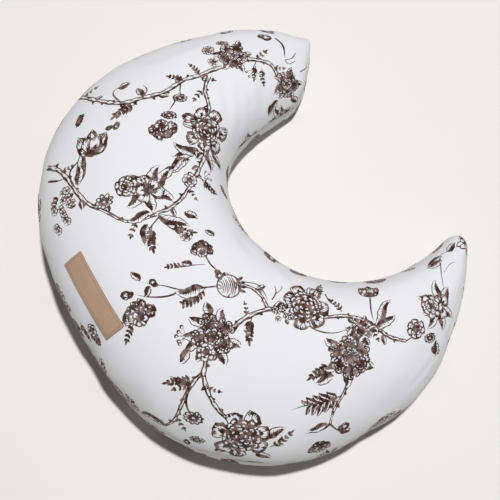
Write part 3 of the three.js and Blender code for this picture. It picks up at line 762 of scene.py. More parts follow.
def posy(R, n=5):
    """A bunch of blossoms with leaves behind."""
    s = Sketch()
    s.scale = 1.05
    for k in range(6):
        a = 60 * k + rnd(-14, 14)
        s.join(leaf(R * rnd(0.62, 0.8), R * 0.2, rnd(-0.2, 0.2), 6, 0.8), (0.55 * R * math.cos(math.radians(a)), 0.55 * R * math.sin(math.radians(a))), a + rnd(-20, 20))
    s.items.append(disc(R * 0.55, 1.0, 14))
    turn = rnd(0, 360)
    for k in range(n + 1):
        a, r = math.radians(turn + 360 * k / n), R * (0.53 if k < n else 0.0)
        q = R * rnd(0.38, 0.46)
        b = rose(q, ((1.0, 6, 0.36), (0.62, 5, 0.36)), 7) if k % 2 else peony(q * 1.05)
        s.join(b, (r * math.cos(a), r * math.sin(a)))
    return s


def berries(n=5, r=1.5, spread=10):
    s = Sketch()
    for k in range(n):
        a = math.radians(-60 + 120 * k / max(1, n - 1) + rnd(-8, 8))
        q = (spread * rnd(0.7, 1.1) * math.cos(a), spread * rnd(0.7, 1.1) * math.sin(a))
        s.line([(0, 0), (q[0] * 0.5, q[1] * 0.62), q], 0.5, taper=(0.05, 0.05))
        s.items.append(disc(r, 1.0, 9, q))
        s.items.append(disc(r * 0.55, 0.0, 7, (q[0] - r * 0.2, q[1] + r * 0.2)))
    return s


def small_leaf(L, W):
    s = Sketch()
    t = np.linspace(0, 1, 6)
    h = W * np.sin(np.pi * t**0.8) + 0.02
    s.fill(np.vstack([np.stack([L * t, -h], 1), np.stack([L * t, h], 1)[::-1][1:-1]]), 1.0)
    s.line([(L * 0.25, 0), (L * 0.85, 0)], 0.35, 0.0)
    return s


def sprig(L, n=5, size=0.32, bend=0.2):
    s = Sketch()
    t = np.linspace(0, 1, 8)
    mid = np.stack([L * t, bend * L * t**2], 1)
    s.line(mid, 0.75, taper=(0.02, 0.6))
    for k in range(n):
        a = 0.2 + 0.72 * k / max(1, n - 1)
        p = np.array([np.interp(a, t, mid[:, c]) for c in (0, 1)])
        turn = math.degrees(math.atan2(2 * bend * a, 1))
        for sign in (1, -1):
            s.join(small_leaf(L * size * rnd(0.85, 1.2) * (1.1 - 0.4 * a), L * size * 0.24), p, turn + sign * rnd(38, 56))
    s.join(small_leaf(L * size, L * size * 0.2), mid[-1], math.degrees(math.atan2(2 * bend, 1)))
    return s


def fern(L, n=8, wide=0.3, bend=0.25):
    s = Sketch()
    t = np.linspace(0, 1, 9)
    mid = np.stack([L * t, bend * L * t**2], 1)
    for k in range(n):
        a = 0.1 + 0.82 * k / n
        p = np.array([np.interp(a, t, mid[:, c]) for c in (0, 1)])
        turn = math.degrees(math.atan2(2 * bend * a, 1))
        size = L * wide * math.sin(math.pi * (0.25 + 0.65 * a))
        for sign in (1, -1):
            s.join(leaf(size * rnd(0.9, 1.1), size * 0.17, 0.12 * sign, 3, 0.9), p, turn + sign * 42)
    s.line(mid, 0.9, taper=(0.02, 0.5))
    return s


def fruit(R):
    s = Sketch()
    s.items.append(disc(R, 1.0, 20))
    s.items.append(disc(R * 0.9, 0.0, 20))
    for k in range(11):
        x = -0.8 + 0.155 * k
        a = np.linspace(-1, 1, 6)
        h = math.sqrt(max(0.05, 0.86 - x * x)) * (1.0 if k % 2 else rnd(0.5, 0.9))
        s.line(np.stack([R * (x + 0.18 * (1 - a * a)), R * a * h], 1), 1.25 if k > 5 else 0.8, taper=(0.3, 0.3))
    for k in range(8):
        a = rnd(0, 6.283)
        s.line([(0.9 * R * math.cos(a), 0.9 * R * math.sin(a)), (0.6 * R * math.cos(a + 0.2), 0.6 * R * math.sin(a + 0.2))], 0.9, taper=(0.01, 0.9))
    for a in (-28, -9, 9, 28):
        s.join(small_leaf(R * 0.55, R * 0.14), (R * 0.9 * math.cos(math.radians(a)), R * 0.9 * math.sin(math.radians(a))), a)
    return s


def branch_line(p, path, w0, w1, twigs=True):
    """A woody stem along (v, l) points of panel p, drawn as two edges with shading strokes between them."""
    X = spline(p.domain(*np.asarray(path, float).T), 2.4)
    v, l = X[:, 0] / p.length_v, X[:, 1] / p.length_l
    P, N = p.point(v, l), p.normals(v, l)
    T = np.gradient(P, axis=0)
    T /= np.linalg.norm(T, axis=1, keepdims=True)
    B = np.cross(N, T)
    tv, tl = p.tangents(v, l)

    def shift(h, idx=slice(None)):
        """The (x, y) in the domain of points h millimetres to the left of the path."""
        D = B[idx] * np.asarray(h)[..., None]
        g11, g12, g22 = (tv[idx] ** 2).sum(1), (tv[idx] * tl[idx]).sum(1), (tl[idx] ** 2).sum(1)
        b1, b2 = (D * tv[idx]).sum(1), (D * tl[idx]).sum(1)
        det = np.maximum(g11 * g22 - g12**2, 1e-3)
        return p.domain(v[idx] + (b1 * g22 - b2 * g12) / det, l[idx] + (g11 * b2 - g12 * b1) / det)

    n = len(X)
    s = np.linspace(0, 1, n)
    w = (w0 + (w1 - w0) * s) * (1 + 0.12 * np.sin(s * n * 0.55 + rnd(0, 6)) + 0.08 * np.sin(s * n * 1.3))

    def ribbon(h0, h1, tone, a=0, b=n):
        left, right = shift(h1), shift(h0)
        for k in range(a, b - 1):
            p.ink.append((tone, np.array([right[k], right[k + 1], left[k + 1], left[k]])))

    ribbon(-w / 2, w / 2, 0.0)
    e = np.minimum(1.5, w * 0.28)
    ribbon(w / 2 - e * 0.85, w / 2, 1.0)
    ribbon(-w / 2, -w / 2 + e * 1.35, 1.0)
    if w0 > 2.2:  # broken shading lines inside
        for off, width in ((-0.14, 0.18), (0.13, 0.11)):
            k = 1
            while k < n - 4:
                m = int(rnd(2, 6))
                ribbon(w * (off - width / 2), w * (off + width / 2), 1.0, k, min(n - 1, k + m))
                k += m + int(rnd(1, 3))
    if w0 > 3.4:  # knots and thorns
        k = int(rnd(3, 8))
        while k < n - 4:
            side = 1 if rnd(0, 1) > 0.5 else -1
            h = rnd(0.35, 0.8) * w[k]
            A = shift(np.full(n, 0.0) + side * w * 0.42)
            T_ = shift(side * (w * 0.5 + h))
            p.ink.append((1.0, np.array([A[k - 1], A[k + 1], T_[k + 1] * 0.75 + T_[k] * 0.25, T_[k] * 0.7 + A[k] * 0.3])))
            k += int(rnd(6, 13))
        k = int(rnd(6, 12))
        while k < n - 6 and twigs:
            side = 1 if rnd(0, 1) > 0.5 else -1
            turn = side * rnd(30, 55)
            bit = Sketch()
            if rnd(0, 1) < 0.5:
                bit.join(leaf(rnd(9, 15), rnd(2.4, 3.4), 0.15, 5), (w[k] * 0.4, 0))
            else:
                bit.join(sprig(rnd(13, 19), 3, 0.34), (w[k] * 0.4, 0))
            place(p, bit, v[k], l[k], T[k], turn, 1.0)
            k += int(rnd(11, 19))
    return X


def place(p, sk, v, l, e1, angle=0.0, scale=1.0, flip=False):
    """Wraps a sketch onto panel p at (v, l), turned by angle from the direction e1."""
    c, s = math.cos(math.radians(angle)), math.sin(math.radians(angle))
    R = np.array([[c, s], [-s, c]])
    if not sk.items:
        return
    sizes = [len(q) for _, q in sk.items]
    allp = np.vstack([q for _, q in sk.items])
    if flip:
        allp = allp * (1, -1)
    vv, ll = p.wrap(v, l, e1, (allp * scale) @ R)
    X = p.domain(vv, ll)
    at = 0
    for (tone, _), n in zip(sk.items, sizes):
        q = X[at : at + n]
        at += n
        p.ink.append((tone, q))


# the drawing's own scale: 1.27 mm on the cloth for each pixel of the camera's frame
K = 1.27


def here(sk, x, y, angle=0.0, flip=False, scale=1.0):
    v, l = pick(x, y)
    place(top, sk, v, l, RIGHT, angle, scale, flip)


def stem(points, w0, w1=None):
    branch_line(top, [pick(*q) for q in points], w0 * 1.9, (w1 if w1 is not None else w0 * 0.7) * 1.9)


def twig(points, w=1.0):
    """A thin stem, drawn as one line."""
    X = spline(top.domain(*np.array([pick(*q) for q in points]).T), 2.2)
    s = Sketch()
    s.line(X, w * 1.7, taper=(0.02, 0.6))
    top.ink.extend(s.items)


# stems first, then leaves, then flowers
# -- upper part
stem([(72, 103), (100, 101), (122, 103), (142, 98), (164, 92), (184, 80), (200, 75), (222, 67)], 3.4, 3.0)
stem([(209, 76), (205, 90), (209, 108), (206, 126)], 3.0, 2.4)
stem([(240, 58), (256, 60), (270, 64), (279, 78)], 3.2, 2.6)
twig([(120, 102), (113, 94), (118, 88), (126, 90)], 1.0)
twig([(142, 98), (147, 90), (142, 84)], 1.0)
twig([(181, 82), (180, 92), (183, 98)], 1.1)
twig([(176, 100), (172, 106), (168, 112)], 1.0)
twig([(256, 62), (253, 70), (256, 76)], 0.9)
twig([(275, 38), (283, 46), (285, 60)], 1.5)
twig([(285, 60), (292, 58), (297, 51)], 0.9)
twig([(285, 60), (289, 64), (298, 60)], 0.9)
twig([(300, 72), (306, 68), (307, 62)], 1.2)
stem([(47, 168), (58, 170), (68, 180), (78, 194), (90, 205), (100, 208)], 3.6, 3.0)
twig([(72, 184), (70, 172), (80, 160), (92, 150)], 1.3)
twig([(48, 182), (58, 181), (66, 178)], 1.2)
stem([(207, 146), (203, 160), (196, 176), (190, 186), (182, 198), (170, 208), (157, 213)], 3.2, 2.6)
stem([(157, 214), (140, 220), (125, 221), (110, 214), (98, 208)], 2.4, 2.0)
twig([(196, 176), (206, 182), (214, 190), (221, 197)], 1.0)
twig([(204, 184), (208, 178), (212, 180)], 0.8)
twig([(212, 160), (218, 166), (222, 176)], 0.9)
twig([(160, 215), (168, 226), (178, 232), (190, 240)], 1.1)
twig([(160, 216), (150, 228), (144, 238)], 1.0)
# -- middle
stem([(237, 284), (252, 288), (262, 297), (268, 309)], 2.4, 2.2)
twig([(246, 282), (258, 285), (266, 296), (269, 306)], 0.8)
twig([(218, 286), (200, 288), (183, 290), (165, 286), (150, 284), (138, 281)], 1.3)
twig([(183, 290), (168, 296), (150, 297), (132, 294)], 1.3)
twig([(205, 255), (212, 266), (220, 272), (228, 280)], 1.1)
twig([(180, 267), (194, 265), (210, 264)], 1.0)
stem([(232, 330), (242, 320), (256, 313), (270, 309), (284, 311)], 3.4, 2.8)
stem([(284, 312), (304, 316), (326, 317), (346, 316), (364, 320), (376, 327), (388, 336), (406, 341)], 2.6, 2.4)
twig([(272, 300), (276, 292), (274, 284)], 1.0)
twig([(276, 294), (282, 288), (280, 284)], 0.8)
twig([(306, 322), (316, 330), (334, 333), (350, 328), (362, 322)], 1.1)
twig([(325, 294), (330, 302), (338, 307)], 1.0)
stem([(206, 358), (205, 366), (203, 373)], 3.4, 3.2)
stem([(203, 373), (195, 380), (187, 392), (181, 406), (174, 420), (164, 426)], 3.0, 1.8)
stem([(203, 373), (207, 390), (214, 404), (224, 416), (234, 424)], 3.2, 2.6)
twig([(190, 386), (186, 402), (192, 416), (204, 424)], 1.3)
twig([(186, 382), (176, 378), (168, 376)], 1.0)
twig([(244, 330), (248, 336), (246, 342)], 0.9)
stem([(348, 384), (342, 396), (334, 410), (330, 424)], 2.2, 1.8)
twig([(334, 398), (322, 402), (304, 406), (288, 411)], 1.2)
twig([(330, 424), (322, 430), (302, 434)], 1.2)
twig([(330, 424), (338, 430), (342, 428)], 1.0)
# -- right tip
stem([(362, 322), (372, 326), (378, 330)], 3.0, 2.8)
twig([(370, 298), (371, 310), (374, 322)], 1.5)
twig([(440, 256), (441, 270), (443, 284), (444, 296)], 1.5)
twig([(444, 272), (450, 264), (456, 262)], 0.9)
twig([(432, 262), (442, 254), (452, 250)], 1.0)
twig([(406, 341), (414, 336), (422, 330)], 1.2)

# leaves
for sk, x, y, a, f in (
    (leaf(13, 3.6, 0.1), 118, 88, 12, False),
    (leaf(11, 3.4, 0.1), 142, 96, 110, False),
    (fern(17, 5, 0.34), 76, 128, 60, False),
    (fern(20, 5, 0.34, -0.1), 84, 92, 42, False),
    (sprig(22, 5), 136, 104, 200, False),
    (sprig(14, 4), 184, 81, 150, False),
    (sprig(13, 4), 200, 75, 120, False),
    (leaf(34, 5.0, 0.28, 9), 75, 184, 62, False),
    (leaf(22, 4.2, -0.3, 7), 78, 186, 78, True),
    (leaf(28, 5.2, 0.16, 9), 200, 152, 190, False),
    (leaf(24, 4.4, -0.22, 8), 196, 156, 165, False),
    (leaf(26, 4.6, 0.2, 8), 190, 160, 205, False),
    (leaf(20, 3.8, 0.1, 7), 184, 158, 222, False),
    (leaf(20, 3.6, -0.2, 7), 208, 152, 290, False),
    (leaf(22, 3.0, 0.15, 7), 212, 150, 305, False),
    (leaf(17, 4.4, 0.2, 6), 174, 168, 215, False),
    (leaf(30, 4.8, 0.2, 8), 158, 214, 330, False),
    (leaf(22, 4.4, -0.2, 7), 150, 212, 215, False),
    (leaf(20, 4.8, 0.25, 7), 148, 224, 250, False),
    (leaf(14, 3.6, 0.2, 5), 176, 224, 300, False),
    (leaf(14, 3.6, -0.2, 5), 184, 212, 350, False),
    (sprig(18, 5), 172, 228, 340, False),
    (sprig(20, 5), 152, 226, 262, False),
    (sprig(16, 5), 202, 180, 318, False),
    (berries(4, 1.3, 9), 204, 178, 20, False),
    (fern(27, 7, 0.26, -0.4), 205, 288, 236, False),
    (leaf(26, 5.5, -0.3, 8), 205, 288, 205, False),
    (leaf(13, 3.2, 0.2, 5), 224, 272, 300, False),
    (leaf(10, 2.6, 0.2, 4), 214, 236, 140, False),
    (leaf(12, 3.0, 0.1, 5), 140, 281, 130, False),
    (leaf(10, 2.8, 0.1, 5), 192, 265, 160, False),
    (sprig(13, 4), 183, 266, 172, False),
    (leaf(11, 3.0, -0.1, 5), 150, 286, 250, False),
    (sprig(16, 4), 134, 324, 232, False),
    (sprig(13, 4), 128, 320, 205, False),
    (sprig(20, 5), 252, 317, 252, False),
    (leaf(13, 4.4, 0.1, 6), 209, 316, 95, False),
    (leaf(16, 4.2, 0.15, 6), 200, 342, 200, False),
    (leaf(15, 4.2, 0.15, 6), 190, 350, 225, False),
    (sprig(24, 6, 0.26), 195, 382, 172, False),
    (leaf(15, 4.0, 0.2, 6), 164, 426, 140, False),
    (leaf(15, 4.4, -0.1, 6), 158, 422, 165, False),
    (leaf(22, 4.6, 0.12, 8), 262, 436, 12, False),
    (sprig(22, 5, 0.24), 270, 447, 25, False),
    (leaf(16, 4.2, 0.1, 6), 226, 446, 220, False),
    (leaf(16, 4.2, 0.1, 6), 256, 452, 320, False),
    (leaf(18, 4.2, 0.1, 7), 334, 376, 195, False),
    (fern(38, 5, 0.36, -0.06), 341, 396, 198, False),
    (sprig(20, 5), 332, 366, 196, False),
    (leaf(19, 3.8, -0.25, 7), 328, 424, 205, False),
    (leaf(12, 3.6, 0.1, 5), 340, 430, 330, False),
    (leaf(30, 4.0, -0.16, 8), 376, 326, 68, False),
    (leaf(22, 4.2, 0.2, 7), 378, 330, 52, True),
    (leaf(20, 4.0, 0.25, 7), 442, 256, 205, False),
    (leaf(18, 3.6, -0.25, 6), 442, 260, 225, False),
    (leaf(15, 3.6, 0.1, 6), 446, 252, 40, False),
    (leaf(15, 3.4, 0.2, 6), 416, 268, 170, False),
    (leaf(15, 3.4, 0.2, 6), 432, 346, 310, False),
    (leaf(16, 3.4, -0.2, 6), 436, 340, 285, False),
    (sprig(17, 5), 314, 298, 55, False),
    (sprig(14, 4), 342, 312, 118, False),
    (leaf(13, 3.4, 0.1, 5), 272, 104, 250, False),
    (leaf(16, 3.6, 0.1, 6), 278, 100, 225, False),
    (leaf(13, 3.4, 0.1, 5), 292, 96, 300, False),
    (sprig(13, 4), 256, 66, 250, False),
    (sprig(16, 5), 80, 322, 300, False),
    (sprig(13, 4), 90, 334, 330, False),
    (fern(14, 4, 0.34), 96, 332, 280, False),
    (leaf(13, 3.4, 0.1, 5), 150, 416, 200, False),
    (sprig(14, 4), 262, 68, 268, False),
):
    here(sk, x, y, a, f, 1.32)

# flowers, fruit and buds
for sk, x, y, a, f in (
    (posy(20, 5), 233, 55, 8, False),
    (rose(6.5, ((1.0, 7, 0.36), (0.6, 5, 0.36)), 4), 208, 50, 0, False),
    (rose(5.5, ((1.0, 6, 0.38), (0.6, 4, 0.4)), 4), 213, 62, 0, False),
    (peony(23), 207, 131, 0, False),
    (bud(15), 197, 121, 165, False),
    (daisy(8.5, 11, 0.6), 180, 98, 0, False),
    (daisy(8.5, 11, 0.6), 169, 115, 0, False),
    (carnation(15), 162, 126, 200, False),
    (bud(9), 118, 122, 250, False),
    (bud(7), 112, 126, 210, False),
    (tulip(27), 92, 156, 4, False),
    (cluster(14, 12, 2.0), 62, 208, 84, False),
    (lily(30), 149, 190, 20, False),
    (rose(11, ((1.0, 7, 0.38), (0.66, 6, 0.38), (0.4, 4, 0.4)), 5), 126, 186, 0, False),
    (daisy(10, 9, 0.85), 104, 202, 30, False),
    (rose(8, ((1.0, 7, 0.36), (0.6, 5, 0.36)), 4), 190, 180, 0, False),
    (carnation(12), 202, 252, 8, False),
    (rose(6, ((1.0, 6, 0.38), (0.6, 4, 0.4)), 4), 186, 236, 0, False),
    (fruit(12), 229, 286, 10, False),
    (bud(10), 216, 270, 300, False),
    (bud(12), 133, 294, 190, False),
    (bud(9), 157, 286, 140, False),
    (carnation(17), 140, 318, 20, False),
    (posy(27, 5), 213, 337, 0, False),
    (rose(9, ((1.0, 7, 0.36), (0.6, 5, 0.36)), 4), 206, 352, 0, False),
    (berries(5, 2.0, 10), 186, 336, 180, False),
    (peony(23), 305, 306, 0, False),
    (cluster(10, 6, 1.2), 284, 314, 150, False),
    (peony(27), 241, 437, 0, False),
    (daisy(11, 11, 0.7), 193, 418, 0, False),
    (daisy(9, 9, 0.6), 197, 440, 10, False),
    (tulip(16), 369, 297, 0, False),
    (posy(15, 4), 361, 331, 0, False),
    (posy(27, 6), 350, 357, 30, False),
    (lily(26), 440, 306, 80, False),
    (rose(12, ((1.0, 8, 0.36), (0.66, 6, 0.36), (0.4, 4, 0.4)), 5), 432, 306, 0, False),
    (rose(10, ((1.0, 7, 0.36), (0.6, 5, 0.36)), 5), 416, 329, 0, False),
    (daisy(8, 10, 0.7), 430, 338, 10, False),
    (carnation(12), 320, 449, 10, False),
    (bud(12), 338, 430, 20, False),
    (bud(14), 258, 36, 0, False),
    (posy(18, 5), 287, 84, 70, False),
    (berries(4, 1.5, 9), 254, 70, 260, False),
    (daisy(7, 9, 0.5), 222, 43, 10, False),
    (rose(7, ((1.0, 6, 0.38), (0.6, 4, 0.4)), 4), 92, 330, 0, False),
):
    here(sk, x, y, a, f, getattr(sk, "scale", 1.25))

# -- the parts that the camera doesn't face carry the same print, spread evenly
taken = []
taken_table = {"at": np.zeros((0, 3)), "r": np.zeros(0)}


def clear_of(P, r):
    at, rs = taken_table["at"], taken_table["r"]
    if len(at) != len(taken):
        taken_table["at"] = at = np.array([q for q, _ in taken])
        taken_table["r"] = rs = np.array([s for _, s in taken])
    return bool((((at - P) ** 2).sum(1) > (r + rs) ** 2).all())


def scatter(p, tries, seed, allowed, small=False):
    g = np.random.default_rng(seed)
    kinds = [
        (lambda: peony(22), 23),
        (lambda: cluster(19, 10, 1.1), 22),
        (lambda: lily(24), 24),
        (lambda: carnation(15), 16),
        (lambda: tulip(22), 17),
        (lambda: fern(30, 7, 0.27), 18),
        (lambda: daisy(10, 11, 0.8), 12),
        (lambda: fruit(10), 12),
        (lambda: sprig(20, 5), 12),
        (lambda: bud(13), 10),
        (lambda: leaf(18, 4.4), 10),
    ]
    for k in range(tries):
        make, r = kinds[int(g.integers(0, 5 if k < tries * 0.35 else len(kinds)))]
        if k > tries * 0.35 and r > 18:
            continue
        v, l = g.uniform(0.02, 0.98), g.uniform(p.lam[0], p.lam[-1])
        P = p.point(v, l)
        if not allowed(P, p.normals(v, l)) or not clear_of(P, r * 0.82):
            continue
        taken.append((P, r))
        place(p, make(), v, l, np.array([1.0, 0.2, 0]), g.uniform(0, 360))


for _, q in top.ink[::7]:
    v, l = q[0, 0] / top.length_v, q[0, 1] / top.length_l
    taken.append((top.point(v, l), 5.0))
side_only = lambda P, N: ((EYE - P) @ N) / np.linalg.norm(EYE - P) < 0.18
scatter(top, 1500, 5, side_only)
for p, seed in ((base_out, 6), (base_in, 7)):
    # stems that wander along the panel
    for k in range(9 if p is base_out else 4):
        g = np.random.default_rng(seed * 100 + k)
        v0, sgn = 0.05 + 0.9 * (k + 0.3) / (9 if p is base_out else 4), p.half_side
        pts = [(min(0.97, v0 + 0.028 * j), sgn * (0.22 + 0.5 * abs(math.sin(0.9 * j + k)))) for j in range(5)]
        pts = [q for i, q in enumerate(pts) if i == 0 or q[0] > pts[i - 1][0] + 1e-3]
        if len(pts) > 2:
            branch_line(p, pts, 5.4, 4.0)
    scatter(p, 2600, seed, lambda P, N: True)


# ------------------------------------------------------------ panel to a mesh
def even_points(p, size, edge_size):
    """Points spread over the panel at about that spacing, in domain coordinates, with the border apart."""
    L, H = p.length_v, p.length_l
    lo, hi = p.lam[0] * H, p.lam[-1] * H
    rows = int((hi - lo) / size)
    inside = []
    v_fine = np.linspace(0, 1, 1201)
    for r in range(1, rows):
        y = lo + (hi - lo) * r / rows
        P = p.point(v_fine, np.full_like(v_fine, y / H))
        s = np.r_[0, np.cumsum(np.linalg.norm(np.diff(P, axis=0), axis=1))]
        n = max(4, int(s[-1] / size))
        at = (np.arange(n) + (0.5 if r % 2 else 0.0) + 0.25) / (n + 0.5)
        x = np.interp(at * s[-1], s, v_fine) * L
        inside.append(np.stack([x, np.full(n, y)], 1))
    border = []
    for y in (lo, hi):
        P = p.point(v_fine, np.full_like(v_fine, y / H))
        s = np.r_[0, np.cumsum(np.linalg.norm(np.diff(P, axis=0), axis=1))]
        n = max(20, int(s[-1] / edge_size))
        x = np.interp(np.linspace(0, s[-1], n + 1), s, v_fine) * L
        line = np.stack([x, np.full(n + 1, y)], 1)
        border.append(line if y == lo else line[::-1])
    n = 24
    right = np.stack([np.full(n - 1, L), np.linspace(lo, hi, n + 1)[1:-1]], 1)
    left = np.stack([np.zeros(n - 1), np.linspace(hi, lo, n + 1)[1:-1]], 1)
    ring = np.vstack([border[0], right, border[1], left])
    return np.vstack(inside), ring


def ink_field(p, pitch):
    """The drawing painted, shape by shape, into an even table over the panel's domain, then softened by about half a line's width."""
    L, H = p.length_v, p.length_l
    lo, hi = p.lam[0] * H, p.lam[-1] * H
    nx, ny = int(L / pitch) + 1, int((hi - lo) / pitch) + 1
    F = np.zeros((nx, ny), np.float32)
    for tone, q in p.ink:
        a = (q - (0.0, lo)) / pitch
        x0, y0 = max(4, math.ceil(a[:, 0].min())), max(4, math.ceil(a[:, 1].min()))
        x1, y1 = min(nx - 5, math.floor(a[:, 0].max())), min(ny - 5, math.floor(a[:, 1].max()))
        if x1 < x0 or y1 < y0 or x1 - x0 > 400 or y1 - y0 > 400:
            continue
        xa, ya = a[:, 0], a[:, 1]
        xb, yb = np.roll(xa, -1), np.roll(ya, -1)
        Y = np.arange(y0, y1 + 1, dtype=float)[:, None]
        cross = (ya > Y) != (yb > Y)
        at = np.where(cross, xa + (xb - xa) * (Y - ya) / np.where(yb == ya, 1e-9, yb - ya), -1e9)
        X = np.arange(x0, x1 + 1, dtype=float)[:, None, None]
        inside = ((X < at[None]).sum(2) & 1).astype(bool)
        F[x0 : x1 + 1, y0 : y1 + 1][inside] = tone
    for axis in (0, 1):
        G = F * 0.40
        G += 0.25 * (np.roll(F, 1, axis) + np.roll(F, -1, axis))
        G += 0.05 * (np.roll(F, 2, axis) + np.roll(F, -2, axis))
        F = G
    return F


def outlines(F, level=0.42, keep=0.28):
    """Closed outlines of a table at that level, as points (in table steps) and each point's follower, with nearly straight runs thinned."""
    B = F > level
    nx, ny = F.shape
    hi_, hj = np.nonzero(B[:-1] != B[1:])
    vi, vj = np.nonzero(B[:, :-1] != B[:, 1:])
    hid, vid = np.full((nx - 1, ny), -1, np.int64), np.full((nx, ny - 1), -1, np.int64)
    hid[hi_, hj] = np.arange(len(hi_))
    vid[vi, vj] = np.arange(len(vi)) + len(hi_)
    ht = (level - F[hi_, hj]) / (F[hi_ + 1, hj] - F[hi_, hj])
    vt = (level - F[vi, vj]) / (F[vi, vj + 1] - F[vi, vj])
    P = np.concatenate([np.stack([hi_ + ht, hj], 1), np.stack([vi, vj + vt], 1)]).astype(float)
    code = B[:-1, :-1] + 2 * B[1:, :-1] + 4 * B[1:, 1:] + 8 * B[:-1, 1:]
    middle = (F[:-1, :-1] + F[1:, :-1] + F[1:, 1:] + F[:-1, 1:]) / 4 > level
    code = np.where((code == 5) & middle, 16, np.where((code == 10) & middle, 17, code))
    bottom, top_, left, right = hid[:, :-1], hid[:, 1:], vid[:-1], vid[1:]
    runs = {1: ((bottom, left),), 2: ((right, bottom),), 3: ((right, left),), 4: ((top_, right),), 5: ((bottom, left), (top_, right)),
            6: ((top_, bottom),), 7: ((top_, left),), 8: ((left, top_),), 9: ((bottom, top_),), 10: ((right, bottom), (left, top_)),
            11: ((right, top_),), 12: ((left, right),), 13: ((bottom, right),), 14: ((left, bottom),),
            16: ((top_, left), (bottom, right)), 17: ((left, bottom), (right, top_))}
    n = len(P)
    nxt, prv = np.full(n, -1, np.int64), np.full(n, -1, np.int64)
    for c, pairs in runs.items():
        m = code == c
        for a, b in pairs:
            nxt[a[m]] = b[m]
            prv[b[m]] = a[m]
    alive = (nxt >= 0) & (prv >= 0)
    idx = np.arange(n)
    luck = np.random.default_rng(3).random(n)
    for k in range(12):
        tol = keep * min(1.0, 0.35 + 0.1 * k)
        A, C = P[prv], P[nxt]
        d = C - A
        ln = np.maximum(np.hypot(d[:, 0], d[:, 1]), 1e-9)
        off = np.abs(d[:, 0] * (P[:, 1] - A[:, 1]) - d[:, 1] * (P[:, 0] - A[:, 0])) / ln
        can = alive & (off < tol) & (ln < 16) & (nxt[nxt] != prv)
        go = can & (~can[prv] | (luck > luck[prv])) & (~can[nxt] | (luck > luck[nxt]))
        i = idx[go]
        nxt[prv[i]], prv[nxt[i]] = nxt[i], prv[i]
        alive[i] = False
    number = np.cumsum(alive) - 1
    return P[alive], number[nxt[alive]]


def panel_mesh(p, name, size=4.4, edge_size=3.2, pitch=0.32, keep=0.3):
    inside, ring = even_points(p, size, edge_size)
    L, H = p.length_v, p.length_l
    lo, hi = p.lam[0] * H, p.lam[-1] * H
    F = ink_field(p, pitch)
    C, nxt = outlines(F, keep=keep)
    C = C * pitch + (0.0, lo)
    n0 = len(ring) + len(inside)
    verts = [Vector(q) for q in ring] + [Vector(q) for q in inside] + [Vector(q) for q in C]
    edges = [(n0 + i, n0 + int(j)) for i, j in enumerate(nxt)]
    faces = [list(range(len(ring)))]
    out_v, _, out_f, _, _, ids = geometry.delaunay_2d_cdt(verts, edges, faces, 0, 1e-3, True)
    tri = np.array([f for f, k in zip(out_f, ids) if k and len(f) == 3])
    X = np.array([tuple(q) for q in out_v])
    c = X[tri].mean(1)
    gx, gy = np.clip(c[:, 0] / pitch, 0, F.shape[0] - 1.001), np.clip((c[:, 1] - lo) / pitch, 0, F.shape[1] - 1.001)
    i, j = gx.astype(int), gy.astype(int)
    a, b = gx - i, gy - j
    tone = F[i, j] * (1 - a) * (1 - b) + F[i + 1, j] * a * (1 - b) + F[i, j + 1] * (1 - a) * b + F[i + 1, j + 1] * a * b
    tone = (tone > 0.42).astype(np.float32)
    # the ink took a little better in some places than in others
    wash = noise_table(91, 301, 121, L, hi - lo, 16) + 0.5 * noise_table(92, 301, 121, L, hi - lo, 6)
    ci, cj = np.clip(c[:, 0] / L * 300, 0, 300).astype(int), np.clip((c[:, 1] - lo) / (hi - lo) * 120, 0, 120).astype(int)
    tone = tone * np.clip(0.995 + 0.03 * wash[ci, cj], 0.93, 1.0)
    v, l = X[:, 0] / L, X[:, 1] / H
    P, N = p.point(v, l), p.normals(v, l)
    if p.side > 0:
        tri = tri[:, ::-1]
    me = bpy.data.meshes.new(name)
    me.vertices.add(len(P))
    me.vertices.foreach_set("co", (P * MM).astype(np.float32).ravel())
    me.loops.add(len(tri) * 3)
    me.loops.foreach_set("vertex_index", tri.astype(np.int32).ravel())
    me.polygons.add(len(tri))
    me.polygons.foreach_set("loop_start", np.arange(0, len(tri) * 3, 3, dtype=np.int32))
    me.update(calc_edges=True)
    me.shade_smooth()
    col = me.color_attributes.new(name="ink", type="FLOAT_COLOR", domain="CORNER")
    c = np.ones((len(tri), 3, 4), np.float32)
    c[..., :3] = tone[:, None, None]
    col.data.foreach_set("color", c.ravel())
    # true lengths along and across, for the weave
    step = np.linalg.norm(np.diff(p.grid, axis=0), axis=2)
    run = np.concatenate([np.zeros((1, step.shape[1])), np.cumsum(step, 0)], 0)
    run -= run[len(p.v) // 2][None]
    U = p._at(run[..., None], v, l)[:, 0]
    uv = me.uv_layers.new(name="OFBake")
    flat = np.stack([0.004 + 0.992 * v, 0.004 + 0.992 * (l - p.lam[0]) / (p.lam[-1] - p.lam[0])], 1)
    uv.data.foreach_set("uv", flat[tri.ravel()].astype(np.float32).ravel())
    thread = me.uv_layers.new(name="thread")
    flat = np.stack([U * MM, l * H * MM], 1)
    thread.data.foreach_set("uv", flat[tri.ravel()].astype(np.float32).ravel())
    me.normals_split_custom_set_from_vertices([tuple(n) for n in N])
    ob = bpy.data.objects.new(name, me)
    bpy.context.scene.collection.objects.link(ob)
    print(name, "triangles", len(tri), "shapes", len(p.ink), "ink share", round(float((tone > 0).mean()), 3))
    return ob


# ------------------------------------------------------------------ materials
def new_material(name):
    mat = bpy.data.materials.new(name)
    mat.use_nodes = True
    nt = mat.node_tree
    nt.nodes.clear()
    out = nt.nodes.new("ShaderNodeOutputMaterial")
    bsdf = nt.nodes.new("ShaderNodeBsdfPrincipled")
    nt.links.new(bsdf.outputs[0], out.inputs[0])
    return mat, nt, bsdf


